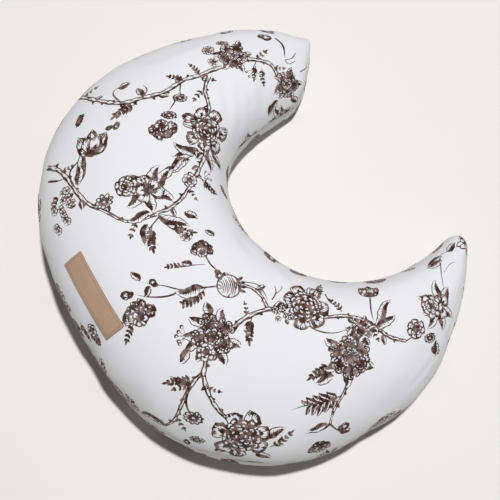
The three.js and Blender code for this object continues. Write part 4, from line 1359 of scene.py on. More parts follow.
def node(nt, kind, **values):
    n = nt.nodes.new(kind)
    for k, v in values.items():
        if k in n.inputs.keys():
            n.inputs[k].default_value = v
        else:
            setattr(n, k, v)
    return n


def weave_height(nt, pitch, source=None):
    """A plain weave's height, from the thread map: two crossed runs of thread that pass over each other."""
    uv = node(nt, "ShaderNodeUVMap", uv_map="thread") if source is None else source
    sep = nt.nodes.new("ShaderNodeSeparateXYZ")
    nt.links.new(uv.outputs[0], sep.inputs[0])
    outs = []
    for c in (0, 1):
        mul = node(nt, "ShaderNodeMath", operation="MULTIPLY")
        mul.inputs[1].default_value = math.pi / pitch
        nt.links.new(sep.outputs[c], mul.inputs[0])
        sin = node(nt, "ShaderNodeMath", operation="SINE")
        nt.links.new(mul.outputs[0], sin.inputs[0])
        outs.append(sin)
    over = node(nt, "ShaderNodeMath", operation="MULTIPLY")
    nt.links.new(outs[0].outputs[0], over.inputs[0])
    nt.links.new(outs[1].outputs[0], over.inputs[1])
    ab = node(nt, "ShaderNodeMath", operation="ABSOLUTE")
    nt.links.new(over.outputs[0], ab.inputs[0])
    return ab


def cotton(name, colour, ink=False, pitch=0.00055, rough=0.82):
    mat, nt, b = new_material(name)
    b.inputs["Roughness"].default_value = rough
    b.inputs["Sheen Weight"].default_value = 0.07
    b.inputs["Sheen Roughness"].default_value = 0.45
    b.inputs["Specular IOR Level"].default_value = 0.12
    tc = nt.nodes.new("ShaderNodeTexCoord")
    soft = node(nt, "ShaderNodeTexNoise", Scale=9.0, Detail=3.0)
    nt.links.new(tc.outputs["Object"], soft.inputs["Vector"])
    fine = node(nt, "ShaderNodeTexNoise", Scale=900.0, Detail=2.0)
    nt.links.new(tc.outputs["Object"], fine.inputs["Vector"])
    tint = node(nt, "ShaderNodeMixRGB", blend_type="MIX")
    tint.inputs[1].default_value = (*[c * 0.975 for c in colour[:2]], colour[2] * 0.985, 1)
    tint.inputs[2].default_value = (*colour, 1)
    nt.links.new(soft.outputs[0], tint.inputs[0])
    last = tint.outputs[0]
    if ink:
        at = node(nt, "ShaderNodeAttribute", attribute_name="ink", attribute_type="GEOMETRY")
        # the ink sits a little unevenly on the threads, deep in some places and thin in others
        depth = node(nt, "ShaderNodeTexNoise", Scale=150.0, Detail=2.0)
        nt.links.new(tc.outputs["Object"], depth.inputs["Vector"])
        thin = node(nt, "ShaderNodeMapRange", interpolation_type="SMOOTHSTEP")
        for k, value in enumerate((0.42, 0.68, 0.0, 1.0), 1):
            thin.inputs[k].default_value = value
        nt.links.new(depth.outputs[0], thin.inputs[0])
        grain = node(nt, "ShaderNodeMath", operation="MULTIPLY_ADD")
        nt.links.new(fine.outputs[0], grain.inputs[0])
        grain.inputs[1].default_value = 0.30
        nt.links.new(thin.outputs[0], grain.inputs[2])
        ink_mix = node(nt, "ShaderNodeMixRGB", blend_type="MIX")
        ink_mix.use_clamp = True
        ink_mix.inputs[1].default_value = (0.024, 0.008, 0.005, 1)
        ink_mix.inputs[2].default_value = (0.138, 0.064, 0.044, 1)
        nt.links.new(grain.outputs[0], ink_mix.inputs[0])
        # engraver's shading: fine slanting lines of bare cloth where the ink is thin
        thread = node(nt, "ShaderNodeUVMap", uv_map="thread")
        lines = node(nt, "ShaderNodeTexWave", wave_type="BANDS", bands_direction="DIAGONAL", Scale=430.0, Distortion=4.0, Detail=1.0)
        lines.inputs["Detail Scale"].default_value = 0.15
        nt.links.new(thread.outputs[0], lines.inputs["Vector"])
        cut = node(nt, "ShaderNodeMapRange", interpolation_type="SMOOTHSTEP")
        for k, value in enumerate((0.45, 0.80, 0.0, 0.30), 1):
            cut.inputs[k].default_value = value
        nt.links.new(lines.outputs["Fac"], cut.inputs[0])
        bare = node(nt, "ShaderNodeMath", operation="MULTIPLY")
        nt.links.new(cut.outputs[0], bare.inputs[0])
        nt.links.new(thin.outputs[0], bare.inputs[1])
        left = node(nt, "ShaderNodeMath", operation="SUBTRACT")
        left.inputs[0].default_value = 1.0
        nt.links.new(bare.outputs[0], left.inputs[1])
        cover = node(nt, "ShaderNodeMath", operation="MULTIPLY")
        nt.links.new(at.outputs["Fac"], cover.inputs[0])
        nt.links.new(left.outputs[0], cover.inputs[1])
        mix = node(nt, "ShaderNodeMixRGB", blend_type="MIX")
        nt.links.new(cover.outputs[0], mix.inputs[0])
        nt.links.new(last, mix.inputs[1])
        nt.links.new(ink_mix.outputs[0], mix.inputs[2])
        last = mix.outputs[0]
    nt.links.new(last, b.inputs["Base Color"])
    h = weave_height(nt, pitch)
    add = node(nt, "ShaderNodeMath", operation="MULTIPLY_ADD")
    nt.links.new(fine.outputs[0], add.inputs[0])
    add.inputs[1].default_value = 0.6
    nt.links.new(h.outputs[0], add.inputs[2])
    bump = node(nt, "ShaderNodeBump", Strength=0.22, Distance=0.00012)
    nt.links.new(add.outputs[0], bump.inputs["Height"])
    nt.links.new(bump.outputs[0], b.inputs["Normal"])
    return mat


printed = cotton("printed_cotton", (0.742, 0.743, 0.765), ink=True)

# ---------------------------------------------------------------- the pieces
cover_top = panel_mesh(top, "cover_top")
cover_top.data.materials.append(printed)
cover_base_outer = panel_mesh(base_out, "cover_base_outer", 5.5, 3.2, 0.5)
cover_base_outer.data.materials.append(printed)
cover_base_inner = panel_mesh(base_in, "cover_base_inner", 5.5, 3.2, 0.5)
cover_base_inner.data.materials.append(printed)
for ob, cad in ((cover_top, "cover_top_panel"), (cover_base_outer, "cover_base_outer_panel"), (cover_base_inner, "cover_base_inner_panel")):
    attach(ob, "pillow")
    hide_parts(cad)

# ------------------------------------------------------- helpers for the rest
def finish_piece(ob, body, slot, *nodes):
    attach(ob, body)
    if nodes:
        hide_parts(*nodes)
    return ob


def mesh_object(name, verts, faces, mat, smooth=True, uv=None):
    """verts in millimetres. uv, in metres, is one pair for each vertex."""
    me = bpy.data.meshes.new(name)
    me.from_pydata([tuple(np.asarray(q, float) * MM) for q in verts], [], [tuple(int(i) for i in f) for f in faces])
    me.update()
    if smooth:
        me.shade_smooth()
    if uv is not None:
        layer = me.uv_layers.new(name="thread")
        idx = np.empty(len(me.loops), np.int32)
        me.loops.foreach_get("vertex_index", idx)
        layer.data.foreach_set("uv", np.asarray(uv, np.float32)[idx].ravel())
    me.materials.append(mat)
    ob = bpy.data.objects.new(name, me)
    bpy.context.scene.collection.objects.link(ob)
    return ob


def sharpen(ob, degrees=35):
    """Keeps the creases of a hard piece sharp."""
    me = ob.data
    me.shade_smooth()
    me.set_sharp_from_angle(angle=math.radians(degrees))


def sheet_solid(top_pts, bottom_pts):
    """Faces of a closed sheet from two grids of points of one shape (n, m, 3)."""
    n, m = top_pts.shape[:2]
    verts = np.vstack([top_pts.reshape(-1, 3), bottom_pts.reshape(-1, 3)])
    idx = np.arange(n * m).reshape(n, m)
    a, b, c, d = idx[:-1, :-1].ravel(), idx[1:, :-1].ravel(), idx[1:, 1:].ravel(), idx[:-1, 1:].ravel()
    faces = list(np.stack([a, b, c, d], 1)) + list(np.stack([d, c, b, a], 1) + n * m)
    ring = np.concatenate([idx[:, 0], idx[-1, 1:], idx[:-1, -1][::-1], idx[0, 1:-1][::-1]])
    for k in range(len(ring)):
        p, q = ring[k], ring[(k + 1) % len(ring)]
        faces.append((q, p, p + n * m, q + n * m))
    return verts, faces


def capsule(verts, faces, p0, p1, up, r, flat=0.8, sides=8, rings=5):
    """One stitch: a rounded rod from p0 to p1 that bows a little away from the cloth."""
    p0, p1, up = (np.asarray(q, float) for q in (p0, p1, up))
    d = p1 - p0
    L = np.linalg.norm(d)
    d /= L
    side = np.cross(d, up)
    side /= np.linalg.norm(side)
    up = np.cross(side, d)
    i0 = len(verts)
    stations = [(-0.98, 0.25), (-0.86, 0.72), (-0.5, 1.0), (0.0, 1.03), (0.5, 1.0), (0.86, 0.72), (0.98, 0.25)]
    for t, k in stations:
        c = (p0 + p1) / 2 + d * (t * L / 2) + up * r * 0.5 * (1 - t * t)
        for j in range(sides):
            a = 2 * math.pi * j / sides
            verts.append(c + (side * math.cos(a) + up * flat * math.sin(a)) * r * k)
    n = len(stations)
    for i in range(n - 1):
        for j in range(sides):
            a, b = i0 + i * sides + j, i0 + i * sides + (j + 1) % sides
            faces.append((a, b, b + sides, a + sides))
    faces.append(tuple(i0 + j for j in range(sides))[::-1])
    faces.append(tuple(i0 + (n - 1) * sides + j for j in range(sides)))


def plain(name, colour, rough, metal=0.0, noise=0.0, scale=300.0, bump=0.2, distance=0.00008, dark=0.85, sheen=0.0):
    """A material with a worn, uneven colour and a fine uneven surface."""
    mat, nt, b = new_material(name)
    b.inputs["Roughness"].default_value = rough
    b.inputs["Metallic"].default_value = metal
    if sheen:
        b.inputs["Sheen Weight"].default_value = sheen
    tc = nt.nodes.new("ShaderNodeTexCoord")
    n1 = node(nt, "ShaderNodeTexNoise", Scale=scale, Detail=4.0)
    nt.links.new(tc.outputs["Object"], n1.inputs["Vector"])
    mix = node(nt, "ShaderNodeMixRGB", blend_type="MIX")
    mix.inputs[1].default_value = (*[c * dark for c in colour], 1)
    mix.inputs[2].default_value = (*colour, 1)
    nt.links.new(n1.outputs[0], mix.inputs[0])
    nt.links.new(mix.outputs[0], b.inputs["Base Color"])
    bp = node(nt, "ShaderNodeBump", Strength=bump, Distance=distance)
    nt.links.new(n1.outputs[0], bp.inputs["Height"])
    nt.links.new(bp.outputs[0], b.inputs["Normal"])
    return mat


# ------------------------------------------------------------ the sewn label
def leather():
    mat, nt, b = new_material("label_leather")
    b.inputs["Roughness"].default_value = 0.52
    b.inputs["Specular IOR Level"].default_value = 0.35
    tc = nt.nodes.new("ShaderNodeTexCoord")
    cloud = node(nt, "ShaderNodeTexNoise", Scale=38.0, Detail=4.0)
    nt.links.new(tc.outputs["Object"], cloud.inputs["Vector"])
    ramp = node(nt, "ShaderNodeMixRGB", blend_type="MIX")
    ramp.inputs[1].default_value = (0.405, 0.262, 0.178, 1)
    ramp.inputs[2].default_value = (0.492, 0.338, 0.242, 1)
    nt.links.new(cloud.outputs[0], ramp.inputs[0])
    # the label's colour is darker at its cut edge and along the stitch groove, where the edge attribute says
    edge_groove_dark = node(nt, "ShaderNodeAttribute", attribute_name="edge", attribute_type="GEOMETRY")
    edge_groove_mix = node(nt, "ShaderNodeMixRGB", blend_type="MIX")
    edge_groove_mix.inputs[2].default_value = (0.24, 0.145, 0.09, 1)
    nt.links.new(edge_groove_dark.outputs["Fac"], edge_groove_mix.inputs[0])
    nt.links.new(ramp.outputs[0], edge_groove_mix.inputs[1])
    nt.links.new(edge_groove_mix.outputs[0], b.inputs["Base Color"])
    grain = node(nt, "ShaderNodeTexVoronoi", Scale=1400.0)
    grain.feature = "SMOOTH_F1"
    nt.links.new(tc.outputs["Object"], grain.inputs["Vector"])
    bp = node(nt, "ShaderNodeBump", Strength=0.35, Distance=0.00012)
    nt.links.new(grain.outputs["Distance"], bp.inputs["Height"])
    nt.links.new(bp.outputs[0], b.inputs["Normal"])
    return mat


LABEL = np.array([pick(68.0, 266.6), pick(82.4, 250.8), pick(123.4, 322.0), pick(108.7, 337.1)])
label_mid = LABEL.mean(0)
corner = top.point(LABEL[:, 0], LABEL[:, 1])
long_way = (corner[2] + corner[3]) - (corner[0] + corner[1])
LABEL_L, LABEL_W = 107.0, 30.0
nu_, nv_ = 108, 34


def bunched(n):
    """-1 to 1, closer together near both ends"""
    t = np.linspace(-1, 1, n)
    return np.sin(t * np.pi / 2) * 0.35 + t * 0.65


lx, ly = bunched(nu_) * LABEL_L / 2, bunched(nv_) * LABEL_W / 2
GX, GY = np.meshgrid(lx, ly, indexing="ij")
# the corners are just rounded off
RC = 1.4
cx, cy = np.maximum(np.abs(GX) - (LABEL_L / 2 - RC), 0), np.maximum(np.abs(GY) - (LABEL_W / 2 - RC), 0)
pull = np.where((cx > 0) & (cy > 0), RC / np.maximum(np.sqrt(cx**2 + cy**2), RC), 1.0)
GX = np.where(pull < 1, np.sign(GX) * (LABEL_L / 2 - RC + cx * pull), GX)
GY = np.where(pull < 1, np.sign(GY) * (LABEL_W / 2 - RC + cy * pull), GY)


def on_label(x, y, height):
    v, l = top.wrap(label_mid[0], label_mid[1], long_way, np.stack([np.ravel(x), np.ravel(y)], 1))
    P = smooth_top.point(v, l) + smooth_top.normals(v, l) * np.ravel(height)[:, None]
    return P.reshape(*np.shape(x), 3)


class smooth_top:
    """The top panel without its lumps, which a stiff label bridges."""

    point = staticmethod(lambda v, l: (top._at(top.grid, v, l) * 0.35 + top._at(top.base, v, l) * 0.65))
    normals = staticmethod(lambda v, l: top.normals(v, l))


edge_d = np.minimum(LABEL_L / 2 - np.abs(GX), LABEL_W / 2 - np.abs(GY))
MARGIN = 3.2
groove = 0.28 * np.exp(-(((edge_d - MARGIN) / 0.75) ** 2))
rise = 2.2 - 0.55 * (1 - np.clip(edge_d / 0.9, 0, 1)) ** 2 - groove
rise += 0.18 * np.exp(-(((edge_d - MARGIN - 2.6) / 1.8) ** 2))
verts, faces = sheet_solid(on_label(GX, GY, rise), on_label(GX, GY, np.full(GX.shape, 0.45)))
label = mesh_object("label", verts, faces, leather())
edge_col = label.data.color_attributes.new(name="edge", type="FLOAT_COLOR", domain="POINT")
# darker over the rounded rim at the cut edge and along the stitch groove; the underside, and so the cut edge's wall,
# gets 0.8
edge_groove_dark = np.clip(0.85 * np.exp(-edge_d / 0.55) + 0.75 * np.exp(-(((edge_d - MARGIN) / 0.62) ** 2)), 0, 1)
c = np.ones((2 * GX.size, 4), np.float32)
c[: GX.size, :3] = edge_groove_dark.reshape(-1, 1)
c[GX.size :, :3] = 0.8
edge_col.data.foreach_set("color", c.ravel())
finish_piece(label, "pillow", "label_leather", "label_patch")

thread_mat = plain("label_thread", (0.50, 0.37, 0.27), 0.65, scale=2600.0, bump=0.5, dark=0.72, sheen=0.2)
verts, faces = [], []
mx, my = LABEL_L / 2 - MARGIN, LABEL_W / 2 - MARGIN
for x0, y0, x1, y1 in ((-mx, -my, mx, -my), (mx, -my, mx, my), (mx, my, -mx, my), (-mx, my, -mx, -my)):
    L = math.hypot(x1 - x0, y1 - y0)
    n = int(round(L / 3.4))
    ends_ = np.array([((k + 0.14) / n, (k + 0.86) / n) for k in range(n)])
    xs, ys = x0 + (x1 - x0) * ends_, y0 + (y1 - y0) * ends_
    P = on_label(xs, ys, np.full(xs.shape, 2.12))
    v, l = top.wrap(label_mid[0], label_mid[1], long_way, np.stack([xs.mean(1), ys.mean(1)], 1))
    N = top.normals(v, l)
    for k in range(n):
        capsule(verts, faces, P[k, 0], P[k, 1], N[k], 0.34)
label_thread = mesh_object("label_stitches", verts, faces, thread_mat)
finish_piece(label_thread, "pillow", "label_thread", "label_stitching")

# ------------------------------------------------- topstitching on the cover
white_thread = plain("cover_thread", (0.78, 0.78, 0.79), 0.7, scale=2400.0, bump=0.5, dark=0.85, sheen=0.2)
verts, faces = [], []
for p in (base_out, base_in):  # along both sides of the zip's slot
    arc = np.linalg.norm(np.diff(p.base, axis=1), axis=2).sum(1)
    vs = np.linspace(0.08, 0.92, 2600)
    f = np.interp(vs, p.v, arc)
    lam = (3.0 / f) * p.half_side + 0 * vs
    P = p.point(vs, lam)
    s_ = np.r_[0, np.cumsum(np.linalg.norm(np.diff(P, axis=0), axis=1))]
    u_ = np.interp(vs, p.v, p.u)
    ang = frames(u_)["angle"]
    ok = (ang > -ZIP_HALF - 8) & (ang < ZIP_HALF + 1)
    n = int(s_[-1] / 3.0)
    for k in range(n):
        a, b = np.interp([(k + 0.15) * 3.0, (k + 0.85) * 3.0], s_, vs)
        if not np.interp(a, vs, ok.astype(float)) > 0.99:
            continue
        la = np.interp([a, b], vs, lam)
        Q = p.point(np.array([a, b]), la)
        N = p.normals(np.array([(a + b) / 2]), np.array([la.mean()]))[0]
        if N[2] > 0:
            N = -N
        capsule(verts, faces, Q[0] + N * 0.05, Q[1] + N * 0.05, N, 0.24, sides=6)
zip_stitches = mesh_object("zip_topstitches", verts, faces, white_thread)
finish_piece(zip_stitches, "pillow", "printed_cotton")

# ------------------------------------------------------------------ the zip
ZC = np.array([*(ARC_CENTRE + SHIFT), 0.0])


def on_arc(deg, dr, z):
    a = np.radians(deg)
    r = ARC_RADIUS + dr
    return np.stack([ZC[0] + r * np.sin(a), ZC[1] - r * np.cos(a), z + 0 * r], -1)


def tape_material():
    mat, nt, b = new_material("zip_tape")
    b.inputs["Roughness"].default_value = 0.78
    b.inputs["Sheen Weight"].default_value = 0.12
    tc = nt.nodes.new("ShaderNodeTexCoord")
    n1 = node(nt, "ShaderNodeTexNoise", Scale=700.0, Detail=2.0)
    nt.links.new(tc.outputs["Object"], n1.inputs["Vector"])
    mix = node(nt, "ShaderNodeMixRGB", blend_type="MIX")
    mix.inputs[1].default_value = (0.66, 0.66, 0.66, 1)
    mix.inputs[2].default_value = (0.79, 0.79, 0.78, 1)
    nt.links.new(n1.outputs[0], mix.inputs[0])
    nt.links.new(mix.outputs[0], b.inputs["Base Color"])
    h = weave_height(nt, 0.0007)
    bp = node(nt, "ShaderNodeBump", Strength=0.5, Distance=0.00016)
    nt.links.new(h.outputs[0], bp.inputs["Height"])
    nt.links.new(bp.outputs[0], b.inputs["Normal"])
    return mat


zip_tape_mat = tape_material()
coil_mat = plain("zip_coil", (0.72, 0.72, 0.71), 0.38, scale=900.0, bump=0.15, dark=0.9)
metal_mat = plain("zip_metal", (0.72, 0.71, 0.69), 0.28, metal=1.0, scale=420.0, bump=0.25, distance=0.00003, dark=0.82)
for side, name in ((1, "outer"), (-1, "inner")):
    deg = np.linspace(-ZIP_HALF - 1, ZIP_HALF + 1, 320)
    dr = np.linspace(0.75, 13.1, 15)
    D, R = np.meshgrid(deg, dr, indexing="ij")
    cord = 0.16 * np.exp(-(((R - 12.2) / 0.6) ** 2))  # the woven edge is a little thicker
    lo_ = on_arc(D, side * R, 6.45 - cord - 0.1 * np.exp(-(((R - 3.1) / 0.5) ** 2)))
    hi_ = on_arc(D, side * R, 6.95 + 0 * R)
    pair = (lo_, hi_) if side < 0 else (hi_, lo_)
    verts, faces = sheet_solid(*pair)
    flat = np.stack([np.radians(D) * ARC_RADIUS * MM, R * MM], -1).reshape(-1, 2)
    tape = mesh_object(f"zip_tape_{name}", verts, faces, zip_tape_mat, uv=np.vstack([flat, flat]))
    sharpen(tape, 60)
    finish_piece(tape, "pillow", "zip_tape", f"zip_tape_{name}")
    # the coil: one thread wound along the tape's edge
    turns, per = 216, 12
    t = np.linspace(0, turns, turns * per + 1)
    ang = -47.7 + (48.7 + 47.7) * t / turns
    ph = 2 * np.pi * (t + (0.5 if side > 0 else 0.0))
    c_ = on_arc(ang, side * (1.72 + 0.70 * np.cos(ph)), 5.4 + 0.40 * np.sin(ph))
    T = np.gradient(c_, axis=0)
    T /= np.linalg.norm(T, axis=1, keepdims=True)
    ref = np.stack([np.sin(np.radians(ang)) * side * np.cos(ph), -np.cos(np.radians(ang)) * side * np.cos(ph), np.sin(ph)], 1)
    B = np.cross(T, ref)
    B /= np.linalg.norm(B, axis=1, keepdims=True)
    Nn = np.cross(B, T)
    ring = 6
    aa = np.linspace(0, 2 * np.pi, ring, endpoint=False)
    V = (c_[:, None] + 0.27 * (Nn[:, None] * np.cos(aa)[None, :, None] + B[:, None] * np.sin(aa)[None, :, None])).reshape(-1, 3)
    k = np.arange(len(c_) - 1)[:, None] * ring
    j = np.arange(ring)[None]
    q = np.stack([k + j, k + (j + 1) % ring, k + ring + (j + 1) % ring, k + ring + j], -1).reshape(-1, 4)
    faces = list(q) + [tuple(range(ring))[::-1], tuple(len(V) - ring + i for i in range(ring))]
    coil = mesh_object(f"zip_coil_{name}", V, faces, coil_mat)
    finish_piece(coil, "pillow", "zip_coil", f"zip_coil_{name}")


def solid_from(outline, z0, z1, bevel=0.25, seg=2, frame_=None):
    """A slab of this outline with rounded edges, as a bmesh."""
    import bmesh

    bm = bmesh.new()
    vs = [bm.verts.new((x, y, z0)) for x, y in outline]
    face = bm.faces.new(vs)
    ext = bmesh.ops.extrude_face_region(bm, geom=[face])
    bmesh.ops.translate(bm, vec=(0, 0, z1 - z0), verts=[g for g in ext["geom"] if isinstance(g, bmesh.types.BMVert)])
    bmesh.ops.recalc_face_normals(bm, faces=bm.faces)
    edges = [e for e in bm.edges if e.calc_face_angle(0) > 0.6]
    bmesh.ops.bevel(bm, geom=edges, offset=bevel, segments=seg, affect="EDGES", profile=0.5)
    return bm


def joined(name, parts, mat, place_):
    import bmesh

    me = bpy.data.meshes.new(name)
    whole = bmesh.new()
    for bm in parts:
        tmp = bpy.data.meshes.new("tmp")
        bm.to_mesh(tmp)
        whole.from_mesh(tmp)
        bpy.data.meshes.remove(tmp)
        bm.free()
    for v in whole.verts:
        v.co = Vector(place_(v.co)) * MM
    whole.to_mesh(me)
    whole.free()
    me.materials.append(mat)
    ob = bpy.data.objects.new(name, me)
    bpy.context.scene.collection.objects.link(ob)
    sharpen(ob, 40)
    return ob


def rod(r, x0, x1, y, z, sides=20, bevel=0.12):
    import bmesh

    bm = bmesh.new()
    bmesh.ops.create_cone(bm, cap_ends=True, segments=sides, radius1=r, radius2=r, depth=x1 - x0)
    bmesh.ops.rotate(bm, matrix=Matrix.Rotation(math.pi / 2, 3, "Y"), verts=bm.verts)
    bmesh.ops.translate(bm, vec=((x0 + x1) / 2, y, z), verts=bm.verts)
    if bevel:
        bmesh.ops.bevel(bm, geom=[e for e in bm.edges if e.calc_face_angle(0) > 1.0], offset=bevel, segments=2, affect="EDGES", profile=0.5)
    return bm


for name, a0, a1, d0, d1 in (("zip_top_stop_outer", 49.0, 49.8, 0.95, 3.15), ("zip_top_stop_inner", 49.0, 49.8, -3.15, -0.95), ("zip_bottom_stop", -49.2, -48.0, -3.15, 3.15)):
    n = 10
    ring = [on_arc(np.array(x), y, 0)[:2] for x, y in
            [(a0 + (a1 - a0) * k / n, d0) for k in range(n + 1)] + [(a1 - (a1 - a0) * k / n, d1) for k in range(n + 1)]]
    stop = joined(name, [solid_from([tuple(q) for q in ring], 4.55, 6.05, 0.3, 3)], metal_mat, lambda q: q)
    finish_piece(stop, "pillow", "zip_metal", name)

SA = math.radians(SLIDER_ANGLE)
S0 = on_arc(np.array(SLIDER_ANGLE), 0.0, 0.0)
SX, SY = np.array([math.sin(SA), -math.cos(SA), 0]), np.array([math.cos(SA), math.sin(SA), 0])
on_slider = lambda q: tuple(S0 + SX * q[0] + SY * q[1] + np.array([0, 0, 1.0]) * q[2])


def quad(p0, p1, p2, n=6):
    t = np.linspace(0, 1, n + 1)[1:, None]
    p0, p1, p2 = np.array(p0), np.array(p1), np.array(p2)
    return [tuple(q) for q in (1 - t) ** 2 * p0 + 2 * (1 - t) * t * p1 + t * t * p2]


plate = [(-4.6, -3.6), (-4.6, 2.6)] + quad((-4.6, 2.6), (-4.6, 4.6), (-2.2, 4.8)) + [(2.2, 4.8)] + quad((2.2, 4.8), (4.6, 4.6), (4.6, 2.6)) + [(4.6, -3.6)] + quad((4.6, -3.6), (4.6, -4.6), (3.6, -4.6)) + [(-3.6, -4.6)] + quad((-3.6, -4.6), (-4.6, -4.6), (-4.6, -3.6))[:-1]
plate = plate[::-1]
box_ = lambda x0, x1, y0, y1: [(x0, y0), (x1, y0), (x1, y1), (x0, y1)]
slider = joined("zip_slider_body", [
    solid_from(plate, 3.4, 4.3, 0.28, 3), solid_from(plate, 7.5, 8.5, 0.28, 3), solid_from(box_(-0.35, 0.35, 0.6, 4.4), 4.2, 7.6, 0.1, 2),
    solid_from(box_(3.5, 4.6, -3.4, 2.4), 4.2, 5.9, 0.2, 2), solid_from(box_(-4.6, -3.5, -3.4, 2.4), 4.2, 5.9, 0.2, 2),
    rod(1.2, 2.3, 3.1, -2.2, 1.75), rod(1.2, -3.1, -2.3, -2.2, 1.75), solid_from(box_(2.3, 3.1, -3.4, -1.0), 1.75, 3.5, 0.1, 2),
    solid_from(box_(-3.1, -2.3, -3.4, -1.0), 1.75, 3.5, 0.1, 2), rod(0.45, -2.9, 2.9, -2.2, 1.75, bevel=0)], metal_mat, on_slider)
finish_piece(slider, "slider", "zip_metal", "zip_slider")


def pull_tab():
    """The blade with its hole, a knuckle round the pin, and a raised rim."""
    import bmesh

    py, pz = -2.2, 1.75
    half = [(1.7, -0.9), (1.7, -4)] + quad((1.7, -4), (3.4, -9), (3.4, -14), 8) + [(3.4, -20.5)] + quad((3.4, -20.5), (3.4, -24), (0, -24), 10)
    half = np.array(half)
    # even stations down the blade, from the knuckle to the tip; the hole is an opening in the strip
    outline = np.vstack([half, (half[:-1] * (-1, 1))[::-1]])
    s_ = np.r_[0, np.cumsum(np.linalg.norm(np.diff(np.vstack([outline, outline[:1]]), axis=0), axis=1))]
    n = 72
    at = np.linspace(0, s_[-1], n, endpoint=False)
    closed = np.vstack([outline, outline[:1]])
    ring = np.stack([np.interp(at, s_, closed[:, 0]), np.interp(at, s_, closed[:, 1])], 1)
    c = np.array([0.0, -20.0])
    start = int(np.argmin(np.abs(np.arctan2(*(ring - c).T[::-1]) - 0.0)))
    ring = np.roll(ring, -start, axis=0)
    area_ = 0.5 * np.sum(ring[:, 0] * np.roll(ring[:, 1], -1) - np.roll(ring[:, 0], -1) * ring[:, 1])
    if area_ < 0:
        ring = np.roll(ring[::-1], 1, axis=0)
    a = np.linspace(0, 2 * np.pi, n, endpoint=False)
    hole = c + 1.5 * np.stack([np.cos(a), np.sin(a)], 1)
    inner = c + 1.85 * np.stack([np.cos(a), np.sin(a)], 1)
    mid_ = ring * 0.9 + (c + (ring - c) * 0.0) * 0.1
    rows = [(hole, -0.32), (hole * 1.0, -0.32), (inner, -0.5), (ring + (c - ring) * 0.06, -0.5), (ring, -0.28), (ring, 0.28), (ring + (c - ring) * 0.06, 0.5), (inner, 0.5), (hole, 0.32)]
    rows = rows[1:]
    V, F = [], []
    for xy, z in rows:
        V += [(x, y + py, pz + z) for x, y in xy]
    m_ = len(rows)
    for i in range(m_):
        for j in range(n):
            a0, b0 = i * n + j, i * n + (j + 1) % n
            a1, b1 = ((i + 1) % m_) * n + j, ((i + 1) % m_) * n + (j + 1) % n
            F.append((a0, a1, b1, b0))
    bm = bmesh.new()
    vs = [bm.verts.new(q) for q in V]
    for f in F:
        bm.faces.new([vs[i] for i in f])
    bmesh.ops.recalc_face_normals(bm, faces=bm.faces)
    # a tube round the pin
    tube = bmesh.new()
    sides = 24
    loops = []
    for x, r in ((-1.9, 0.75), (-1.9, 1.18), (-1.78, 1.3), (1.78, 1.3), (1.9, 1.18), (1.9, 0.75)):
        loops.append([tube.verts.new((x, py + r * math.cos(2 * math.pi * k / sides), pz + r * math.sin(2 * math.pi * k / sides))) for k in range(sides)])
    for i in range(len(loops)):
        A, B_ = loops[i], loops[(i + 1) % len(loops)]
        for k in range(sides):
            tube.faces.new((A[k], A[(k + 1) % sides], B_[(k + 1) % sides], B_[k]))
    bmesh.ops.recalc_face_normals(tube, faces=tube.faces)
    return [bm, tube]


tab = joined("zip_pull", pull_tab(), metal_mat, on_slider)
finish_piece(tab, "pull_tab", "zip_metal", "zip_pull_tab")

# ------------------------------------------------- care label, casing, fibre
satin = plain("care_satin", (0.80, 0.80, 0.79), 0.42, scale=1500.0, bump=0.3, dark=0.93, sheen=0.15)
deg, dr = np.linspace(ZIP_HALF + 3, ZIP_HALF + 12, 40), np.linspace(-10, 10, 30)
D, R = np.meshgrid(deg, dr, indexing="ij")
ripple = 0.09 * np.sin(D * 1.1) * np.sin(R * 0.45)
verts, faces = sheet_solid(on_arc(D, R, 7.9 + ripple), on_arc(D, R, 7.55 + ripple))
care = mesh_object("care_tag", verts, faces, satin)
sharpen(care, 60)
finish_piece(care, "pillow", "care_satin", "care_label")

casing_mat = cotton("casing_cloth", (0.80, 0.80, 0.79), pitch=0.0009)
fibre_mat = plain("fibre", (0.86, 0.86, 0.85), 0.95, scale=160.0, bump=1.0, distance=0.0012, dark=0.9, sheen=0.3)


def grid_object(name, p, mat, step_v=4, step_l=4):
    iv, il = list(range(0, len(p.v) - 1, step_v)) + [len(p.v) - 1], list(range(0, len(p.lam) - 1, step_l)) + [len(p.lam) - 1]
    G = p.grid[np.ix_(iv, il)]
    n, m_ = G.shape[:2]
    idx = np.arange(n * m_).reshape(n, m_)
    a, b, c, d = idx[:-1, :-1].ravel(), idx[1:, :-1].ravel(), idx[1:, 1:].ravel(), idx[:-1, 1:].ravel()
    q = np.stack([a, b, c, d] if p.side < 0 else [d, c, b, a], 1)
    uv = np.stack(np.meshgrid(p.v[iv] * p.length_v * MM, p.lam[il] * p.length_l * MM, indexing="ij"), -1).reshape(-1, 2)
    return mesh_object(name, G.reshape(-1, 3), list(q), mat, uv=uv)


def zip_lift(p, height, reach):
    """Keeps an inner layer clear of the zip."""
    ang = frames(p.u)["angle"]
    share = (1 - smooth01((np.abs(ang) - 70) / 6))[:, None]
    d = np.abs(p.lam)[None] * np.linalg.norm(np.diff(p.grid, axis=1), axis=2).sum(1)[:, None] / 2
    g = p.grid.copy()
    g[..., 2] = np.maximum(g[..., 2], height * share * (1 - smooth01((d - reach) / 9)))
    p.set(g)


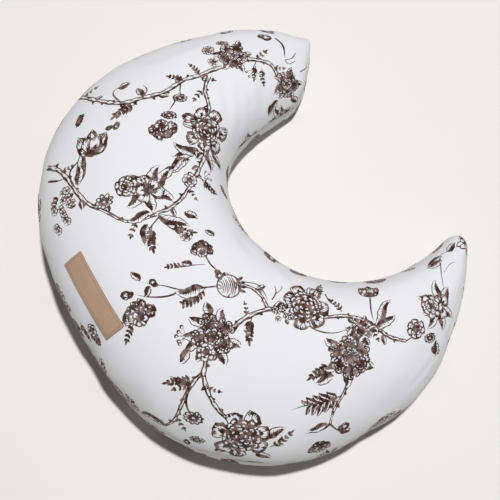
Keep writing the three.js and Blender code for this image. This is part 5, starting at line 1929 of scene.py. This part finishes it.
casing_top_p, casing_base_p = Panel(+1, nv=161, nl=81, inset=4.6), Panel(-1, nv=161, nl=121, inset=4.0)
zip_lift(casing_base_p, 10.6, 16.5)
fibre_top_p, fibre_base_p = Panel(+1, nv=161, nl=81, inset=6.6), Panel(-1, nv=161, nl=121, inset=6.0)
zip_lift(fibre_base_p, 12.6, 18.0)
casing_top = grid_object("casing_top", casing_top_p, casing_mat, 1, 1)
finish_piece(casing_top, "pillow", "casing_cloth", "casing_top_panel")
casing_base = grid_object("casing_base", casing_base_p, casing_mat, 1, 1)
finish_piece(casing_base, "pillow", "casing_cloth", "casing_base_panel")
fibre_a = grid_object("fibre_top", fibre_top_p, fibre_mat, 1, 1)
fibre_b = grid_object("fibre_base", fibre_base_p, fibre_mat, 1, 1)
with bpy.context.temp_override(active_object=fibre_a, object=fibre_a, selected_objects=[fibre_a, fibre_b], selected_editable_objects=[fibre_a, fibre_b]):
    bpy.ops.object.join()
fibre_a.name = "fibre"
finish_piece(fibre_a, "pillow", "fibre", "fibre_filling")

# ---------------------------------------------------------------- the studio
floor_mesh = bpy.data.meshes.new("floor")
s = 6.0
floor_mesh.from_pydata([(-s, -s, 0), (s, -s, 0), (s, s, 0), (-s, s, 0)], [], [(0, 1, 2, 3)])
floor = bpy.data.objects.new("floor", floor_mesh)
floor.location = (0, 0, -0.0004)
bpy.context.scene.collection.objects.link(floor)
fm, fnt, fb = new_material("floor_paper")
fb.inputs["Base Color"].default_value = (0.755, 0.748, 0.712, 1)
fb.inputs["Roughness"].default_value = 0.95
fb.inputs["Specular IOR Level"].default_value = 0.05
floor_mesh.materials.append(fm)

world = bpy.data.worlds.new("studio")
bpy.context.scene.world = world
world.use_nodes = True
bg = world.node_tree.nodes["Background"]
bg.inputs[0].default_value = (1.0, 1.0, 1.0, 1)
bg.inputs[1].default_value = 0.10


def area(name, towards, distance, size, power, colour=(1, 1, 1)):
    d = bpy.data.lights.new(name, "AREA")
    d.shape = "DISK"
    d.size = size
    d.energy = power
    d.color = colour
    o = bpy.data.objects.new(name, d)
    bpy.context.scene.collection.objects.link(o)
    at = Vector([float(x) for x in towards]).normalized() * distance
    o.location = at
    o.rotation_euler = (-at).to_track_quat("-Z", "Y").to_euler()
    return o


area("key", BACK + UP * 0.33 + RIGHT * 0.10, 6.0, 0.30, 352, (1.0, 0.997, 0.99))
area("fill", BACK + RIGHT * 0.5 + UP * 0.4, 5.0, 3.0, 9, (0.90, 0.95, 1.0))
bpy.context.scene.view_settings.view_transform = "Standard"
bpy.context.scene.view_settings.look = "None"
